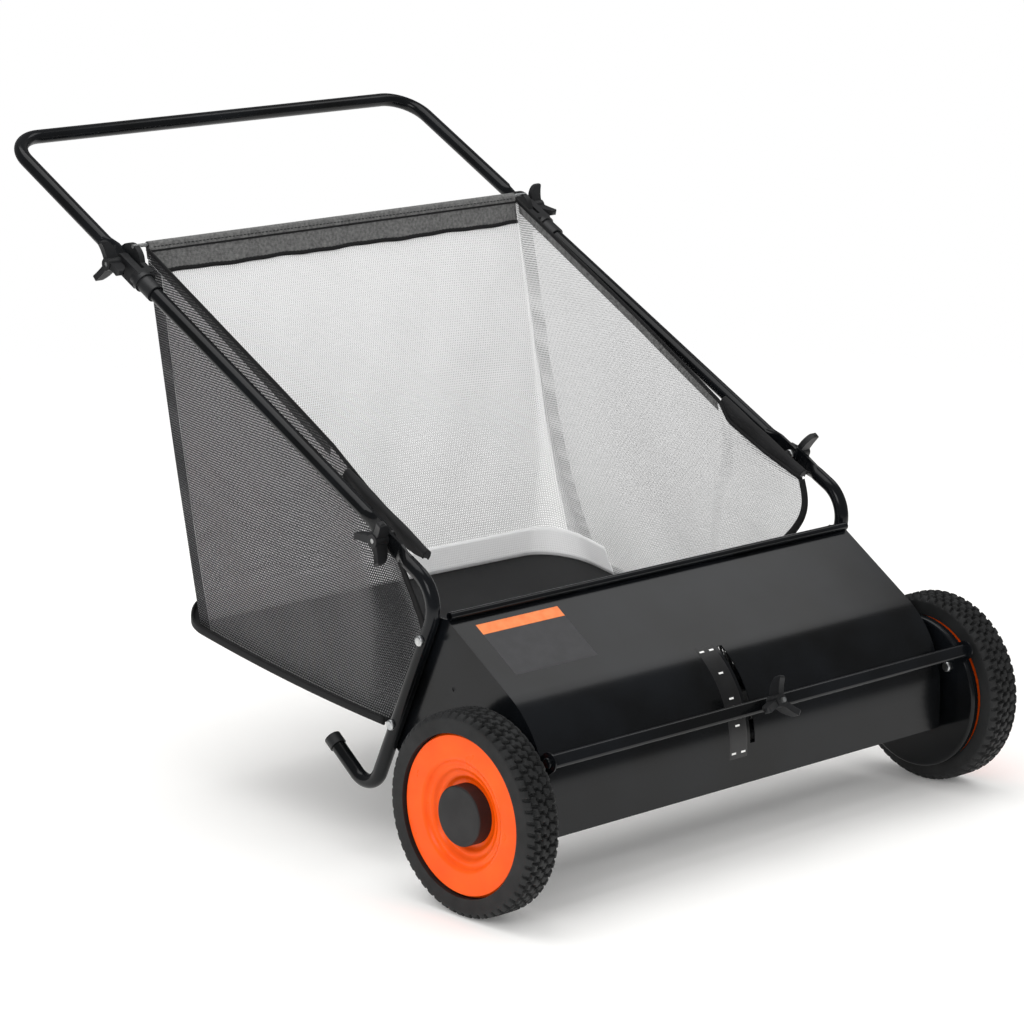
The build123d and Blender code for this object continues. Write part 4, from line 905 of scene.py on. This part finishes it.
def carried(path, cloth, size):
    """Oval section along a path: its long axis follows the cloth's direction, squared off to the path."""
    along = np.gradient(path, axis=0)
    along = along / np.linalg.norm(along, axis=1, keepdims=True)
    up = cloth - along * np.sum(along * cloth, axis=1, keepdims=True)
    up = up / np.linalg.norm(up, axis=1, keepdims=True)
    out = np.cross(along, up)
    turn = np.linspace(0, 2 * np.pi, OVAL_POINTS + 1)[:-1]
    wide = size[0] * MM * np.sign(np.cos(turn)) * np.abs(np.cos(turn)) ** OVAL_POWERS[0]
    thick = size[1] * MM * np.sign(np.sin(turn)) * np.abs(np.sin(turn)) ** OVAL_POWERS[1]
    return path[:, None] + up[:, None] * wide[None, :, None] + out[:, None] * thick[None, :, None]


def bind(name, path, cloth, size):
    """Binding along an edge; its ends are closed by drawing the last sections together."""
    rings = carried(path, cloth, size)
    rings = np.concatenate([np.broadcast_to(path[:1, None], rings[:1].shape), rings])
    rings = np.concatenate([rings, np.broadcast_to(path[-1:, None], rings[:1].shape)])
    steps = np.linalg.norm(np.diff(path, axis=0), axis=1)
    length = np.concatenate([[0, 0], np.cumsum(steps), [steps.sum()]])[:, None]
    girth = np.linspace(0, 4 * size[0] * MM, OVAL_POINTS)[None, :]
    uv = np.stack(np.broadcast_arrays(length, girth), axis=-1)
    faces = grid_faces(len(rings), OVAL_POINTS, False, True)
    return make_piece(name, rings, faces, "lower_handle", [tape], uv)


print("tape", 2 * TAPE_SIZE[0], "mm wide, narrow tape", 2 * NARROW_TAPE_SIZE[0], "mm")

# %% Binding on the edges
SIDE_POINTS = 90
REAR_POINTS = 60
FRONT_POINTS = 70
NEAR_FRONT = 0.99
outline_q = np.sin(np.linspace(0, np.pi / 2, SIDE_POINTS))[:, None]
left_side = floor_point(np.full((1, 1), -1.0), outline_q)[:, 0]
right_side = floor_point(np.full((1, 1), 1.0), outline_q)[::-1, 0]
rear_line = floor_point(np.linspace(-1, 1, REAR_POINTS)[None, 1:-1], np.ones((1, 1)))[0]
seam = np.concatenate([left_side, rear_line, right_side])
upward = np.broadcast_to(np.array([0.0, 0.0, 1.0]), seam.shape)
bindings = [bind("floor_binding", seam, upward, TAPE_SIZE)]
edge_v = np.linspace(0, 1, FRONT_POINTS)[:, None]
side_u = np.linspace(BACK_SHARE + CORNER_SHARE, 1, SIDE_POINTS)[None, :]
for label, sign in (("left", -1), ("right", 1)):
    front = bag_wall(np.full((1, 1), sign * 1.0), edge_v)[:, 0]
    behind = bag_wall(np.full((1, 1), sign * NEAR_FRONT), edge_v)[:, 0]
    bindings.append(bind(f"{label}_front_binding", front, behind - front, TAPE_SIZE))
    top = bag_wall(sign * side_u, np.ones((1, 1)))[0]
    under = bag_wall(sign * side_u, np.full((1, 1), NEAR_TOP))[0]
    bindings.append(bind(f"{label}_top_binding", top, under - top, NARROW_TAPE_SIZE))
print("binding round the floor", round(row_length(seam), 3), "m long")

# %% [markdown]
# ## Rear hem
# At the back the weave is doubled over the rear rod, which gives the dark speckled band below the
# handle. The section is drawn as one line: up the inside, round the rod and a little way down
# behind. A tape covers its lower edge, and a narrower one lies below the rod. Two rows of stitches
# hold it.

# %% Section of the hem
rod_low, rod_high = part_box("bag_rear_rod")
ROD_Y = ((rod_low[1] + rod_high[1]) / 2 - AXLE_Y) / MM
ROD_Z = (rod_low[2] + rod_high[2]) / 2 / MM
HEM_H = 36.0
HEM_REAR_SHARE = 0.5
HEM_WRAP = 4.2
HEM_SWELL = 1.4
SWELL_RUN = (4.0, 14.0)
HEM_TUCK = 0.6
TUCK_RUN = (2.0, 8.0)
HEM_WAVES = ((0.7, 23.0, 6.0, 30.0), (0.4, 9.0, 10.0, 34.0))
back_way = np.array([LEFT_TOP[2][0] - BAG_BOTTOM[2][0], LEFT_TOP[2][1] - BAG_BOTTOM[2][1]])
back_way = back_way / np.linalg.norm(back_way)
back_out = np.array([back_way[1], -back_way[0]])


def hem_point(x, s):
    """Hem section: s below 0 runs up the front, 0 to 1 turns over the rod, above 1 runs down behind."""
    front = np.clip(-s, 0, 1) * HEM_H
    rear = np.clip(s - 1, 0, 1) * HEM_H * HEM_REAR_SHARE
    turn = np.clip(s, 0, 1) * np.pi
    out = -HEM_WRAP * np.cos(turn) + HEM_SWELL * soft_step(front, *SWELL_RUN)
    out = out - HEM_TUCK * soft_step(rear, *TUCK_RUN)
    up = HEM_WRAP * np.sin(turn) - front - rear
    wave = sum(size * np.sin(x / long) * soft_step(front, *grow) for size, long, *grow in HEM_WAVES)
    y = ROD_Y + back_out[0] * (out + wave * 0.5) + back_way[0] * (up + wave)
    z = ROD_Z + back_out[1] * (out + wave * 0.5) + back_way[1] * (up + wave)
    return place(x, y, z)


def fold_line(inside, over, outside):
    """Places along a fold over a rod: a run of points up one face, one over the top, one down behind."""
    up = np.linspace(-1, 0, inside)[:-1]
    return np.concatenate([up, np.linspace(0, 1, over)[:-1], np.linspace(1, 2, outside)])


print("the hem turns over a rod at", hem_point(0.0, 0.5).round(4))

# %% Hem round the rear rod
HEM_HALF = BAG_HALF - 2.6
HEM_T = 1.2
HEM_COLUMNS = 160
hem_x = np.linspace(-HEM_HALF, HEM_HALF, HEM_COLUMNS)
hem_s = fold_line(16, 13, 8)
hem_grid = hem_point(hem_x[None, :], hem_s[:, None])
hem_faces = grid_faces(len(hem_s), HEM_COLUMNS)[:, ::-1]
rear_hem = hung_cloth("rear_hem", hem_grid, hem_faces, [hem_weave], HEM_T)
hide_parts("bag_hem")

# %% Tapes on the hem
HEM_TAPES = (("lower", -0.99, (2.6, 1.2)), ("upper", -0.24, (1.3, 0.9)))
for label, s, size in HEM_TAPES:
    line = hem_point(hem_x, s)
    downward = hem_point(hem_x, s - 0.01) - line
    bind(f"hem_{label}_tape", line, downward, size)

# %% Hem stitches
STITCH_PITCH = 6.0
STITCH_LONG = 4.4
STITCH_R = 0.7
STITCH_BLUNT = 0.05
STITCH_PROUD = 0.2
STITCH_RINGS = 5
STITCH_SIDES = 6
STITCH_POINTS = STITCH_RINGS * STITCH_SIDES
STITCH_ROWS = (-0.92, -0.1)


def stitch_row(s):
    """Stitches along one line: each a rod of a few rings, whose radius is a half circle of its length."""
    count = int(2 * HEM_HALF / STITCH_PITCH) - 1
    middle = (np.arange(count) - (count - 1) / 2) * STITCH_PITCH
    share = np.linspace(-1, 1, STITCH_RINGS)[None, :, None]
    turn = (np.arange(STITCH_SIDES) * 2 * np.pi / STITCH_SIDES)[None, None, :]
    x = middle[:, None, None] + share * STITCH_LONG / 2 + 0 * turn
    base = hem_point(x, np.full(x.shape, s))
    fat = STITCH_R * np.sqrt(np.clip(1 - share**2, STITCH_BLUNT, 1))
    forward = (STITCH_PROUD + fat * np.cos(turn)) * MM
    upward = fat * np.sin(turn) * MM
    base[..., 1] += upward * back_way[0] - forward * back_out[0]
    base[..., 2] += upward * back_way[1] - forward * back_out[1]
    rod = grid_faces(STITCH_RINGS, STITCH_SIDES, False, True)
    faces = (rod[None] + (np.arange(count) * STITCH_POINTS)[:, None, None]).reshape(-1, 4)
    return base.reshape(-1, 3), faces


# Waxed thread shows as fine dark dashes with a faint shine.
thread, tree, shader = start_material("black waxed thread", "161617", 0.55)
mottle(tree, shader, 3.0, "101011", "2A2A2C")
rows = [stitch_row(s) for s in STITCH_ROWS]
stitch_points = np.concatenate([row[0] for row in rows])
stitch_faces = np.concatenate([rows[0][1], rows[1][1] + len(rows[0][0])])
print("stitches", len(stitch_points) // STITCH_POINTS)
hem_stitches = make_piece(
    "hem_stitches", stitch_points, stitch_faces, "lower_handle", [thread]
)

# %% [markdown]
# ## Side flaps
# Beside each lower handle tube a canvas flap is folded over a short rod. It carries the front of the
# bag. The flap is a strip bent over the rod: up the bag's side, over the top and a little way down
# outside.

# %% Section of a flap
HANDLE_TILT = np.radians(27.9)
ALONG = np.array([np.cos(HANDLE_TILT), np.sin(HANDLE_TILT)])
ABOVE = np.array([-ALONG[1], ALONG[0]])
JOINT = np.array([205.0, 396.0])
FLAP_SPAN = (-45.0, 117.0)
FLAP_LIFT = 5.0
FLAP_WRAP = 4.6
FLAP_INSIDE = 22.0
FLAP_OUTSIDE = 14.0
FLAP_END = 0.02
FLAP_ROUNDING = 0.35
FLAP_SWELL_RUN = (2.0, 14.0)
FLAP_TUCK = 0.5
FLAP_TUCK_RUN = (2.0, 10.0)
FLAP_WAVE = (0.6, 14.0, 3.0)
FLAP_CAP_R = 4.5
FLAP_ROD_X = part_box("flap_rods")[1][0] / MM - FLAP_CAP_R


def flap_point(a, s, sign):
    """Flap point: a runs along the rod; s below 0 hangs inside, 0 to 1 turns over, above 1 outside."""
    ends = np.sin(np.pi * np.clip(a, FLAP_END, 1 - FLAP_END)) ** FLAP_ROUNDING
    inside = np.clip(-s, 0, 1) * FLAP_INSIDE * ends
    outside = np.clip(s - 1, 0, 1) * FLAP_OUTSIDE * ends
    turn = np.clip(s, 0, 1) * np.pi
    x = FLAP_ROD_X - FLAP_WRAP * np.cos(turn) + soft_step(inside, *FLAP_SWELL_RUN)
    x = x - FLAP_TUCK * soft_step(outside, *FLAP_TUCK_RUN)
    x = x + FLAP_WAVE[0] * np.sin(FLAP_WAVE[1] * a + FLAP_WAVE[2] * s)
    lift = FLAP_LIFT + FLAP_WRAP * np.sin(turn) - inside - outside
    run = FLAP_SPAN[0] + (FLAP_SPAN[1] - FLAP_SPAN[0]) * a
    y = JOINT[0] + ALONG[0] * run + ABOVE[0] * lift
    z = JOINT[1] + ALONG[1] * run + ABOVE[1] * lift
    return place(sign * x, y, z)


print("the right flap turns over its rod at", flap_point(0.5, 0.5, 1).round(4))

# %% Side flaps
FLAP_T = 1.0
FLAP_COLUMNS = 60
flap_a = np.linspace(0, 1, FLAP_COLUMNS)[None, :]
flap_s = fold_line(12, 13, 8)
flap_faces = grid_faces(len(flap_s), FLAP_COLUMNS)
for label, sign in (("left", -1), ("right", 1)):
    flap_grid = flap_point(flap_a, flap_s[:, None], sign)
    turned = flap_faces if sign < 0 else flap_faces[:, ::-1]
    flap = hung_cloth(f"{label}_side_flap", flap_grid, turned, [canvas], FLAP_T)
    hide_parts("bag_flaps")

# %% [markdown]
# ## Marks on the cover
# Two printed films lie on the cover: a bare two-colour panel at its left end and a height scale
# beside the slot, with plain ticks. Film follows the sheet, so each is a patch of the cover's own
# bent line, lifted by a hair and closed round its edges.

# %% The cover's own line
COVER_SLOPE = np.radians(33.5)
COVER_R = 131.0
COVER_FRONT = -58.0
COVER_REAR = (107.8, 315.2)
FILM_LIFT = 0.25
FILM_EDGE = 0.02
FILM_ROWS = 40
FILM_COLUMNS = 14
bend_y = COVER_FRONT + COVER_R
rear_gap = COVER_REAR[1] * np.cos(COVER_SLOPE) - COVER_REAR[0] * np.sin(COVER_SLOPE) - COVER_R
bend_z = (rear_gap + bend_y * np.sin(COVER_SLOPE)) / np.cos(COVER_SLOPE)
SLOPE_LONG = (COVER_REAR[0] - bend_y) / np.cos(COVER_SLOPE) + COVER_R * np.tan(COVER_SLOPE)


def cover_point(x, down, lift):
    """Point of the cover, so far down from its rear edge: a slope, a bend of one radius and a front."""
    bend = np.clip((down - SLOPE_LONG) / COVER_R, 0, np.pi / 2 - COVER_SLOPE) + COVER_SLOPE
    fall = np.clip(down - SLOPE_LONG - COVER_R * (np.pi / 2 - COVER_SLOPE), 0, None)
    before = np.clip(SLOPE_LONG - down, 0, None)
    r = COVER_R + lift
    y = bend_y - r * np.sin(bend) + before * np.cos(COVER_SLOPE)
    z = bend_z + r * np.cos(bend) + before * np.sin(COVER_SLOPE) - fall
    return place(x, y, z)


def film(name, left, right, top, bottom, finish, lift=FILM_LIFT):
    """A film between two sides and two distances down the cover, closed below by a skirt to the sheet."""
    x = np.linspace(left, right, FILM_COLUMNS)[None, :]
    down = np.linspace(top, bottom, FILM_ROWS)[:, None]
    height = np.full((FILM_ROWS, FILM_COLUMNS), lift)
    height[[0, -1], :] = FILM_EDGE
    height[:, [0, -1]] = FILM_EDGE
    faces = grid_faces(FILM_ROWS, FILM_COLUMNS)
    make_piece(name, cover_point(x, down, height), faces, "housing", [finish], sharp=20)


print("slope of the cover", round(SLOPE_LONG, 1), "mm, then a bend of", COVER_R, "mm")

# %% Film and ink
# Film is duller than the enamel round it, so its edges show. The inks are even and opaque.
film_orange, tree, shader = start_material("orange printed film", "F2803F", 0.42)
mottle(tree, shader, 12.0, "EE7A38", "F58A4A")
film_grey, tree, shader = start_material("charcoal printed film", "3B3B3D", 0.5)
mottle(tree, shader, 14.0, "38383A", "3D3D3F")
film_black, tree, shader = start_material("black scale film", "131314", 0.36)
mottle(tree, shader, 20.0, "101011", "19191A")
tick_white, tree, shader = start_material("white scale ink", "F4F4F2", 0.5)
mottle(tree, shader, 3.0, "E9E9E6", "FAFAF8")
print("films:", film_orange.name, "-", film_grey.name, "-", film_black.name, "-", tick_white.name)

# %% Panel and height scale
PANEL_SIDES = (-308.0, -178.0)
PANEL_DOWN = (17.0, 33.0, 100.0)
film("cover_panel_header", *PANEL_SIDES, *PANEL_DOWN[:2], film_orange)
film("cover_panel_field", *PANEL_SIDES, *PANEL_DOWN[1:], film_grey)
SCALE_MIDDLE = -24.0
SCALE_HALF = 15.0
SCALE_DOWN = (126.0, 272.0)
film("height_scale", SCALE_MIDDLE - SCALE_HALF, SCALE_MIDDLE + SCALE_HALF, *SCALE_DOWN, film_black)
print("scale", 2 * SCALE_HALF, "mm wide and", SCALE_DOWN[1] - SCALE_DOWN[0], "mm long")

# %% Ticks on the scale
TICK_HALF = 4.0
TICK_TALL = 2.4
TICK_LIFT = FILM_LIFT + 0.2
TICK_SPREAD = 8.0
TICK_MARGIN = 7.0
TICK_ROWS = 5
tick_rows = np.linspace(SCALE_DOWN[0] + TICK_MARGIN, SCALE_DOWN[1] - TICK_MARGIN, TICK_ROWS)
for row, down in enumerate(tick_rows):
    spots = (-TICK_SPREAD, TICK_SPREAD) if row in (0, TICK_ROWS - 1) else (0.0,)
    ends = (down - TICK_TALL / 2, down + TICK_TALL / 2)
    for number, spot in enumerate(spots):
        sides = (SCALE_MIDDLE + spot - TICK_HALF, SCALE_MIDDLE + spot + TICK_HALF)
        film(f"scale_tick_{row + 1}_{number + 1}", *sides, *ends, tick_white, TICK_LIFT)
print("ticks in", TICK_ROWS, "rows,", round(tick_rows[1] - tick_rows[0], 1), "mm apart")

# %% [markdown]
# ## Folding away
# When the handle folds over the cover, the bag goes with it. Cloth doesn't stay blown up then: it
# flattens onto the handle. Here every cloth piece below the tubes only gets a mesh of its own, and the
# place of the handle's joint is worked out; nothing squashes the cloth.

# %% Give the cloth pieces meshes of their own
squash_anchor = tuple(float(c) for c in place(0.0, JOINT[0], JOINT[1]))
folding = (bag_walls, bag_floor, *strips, *bindings)
for cloth in folding:
    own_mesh(cloth)
print("squashed", len(folding), "pieces")
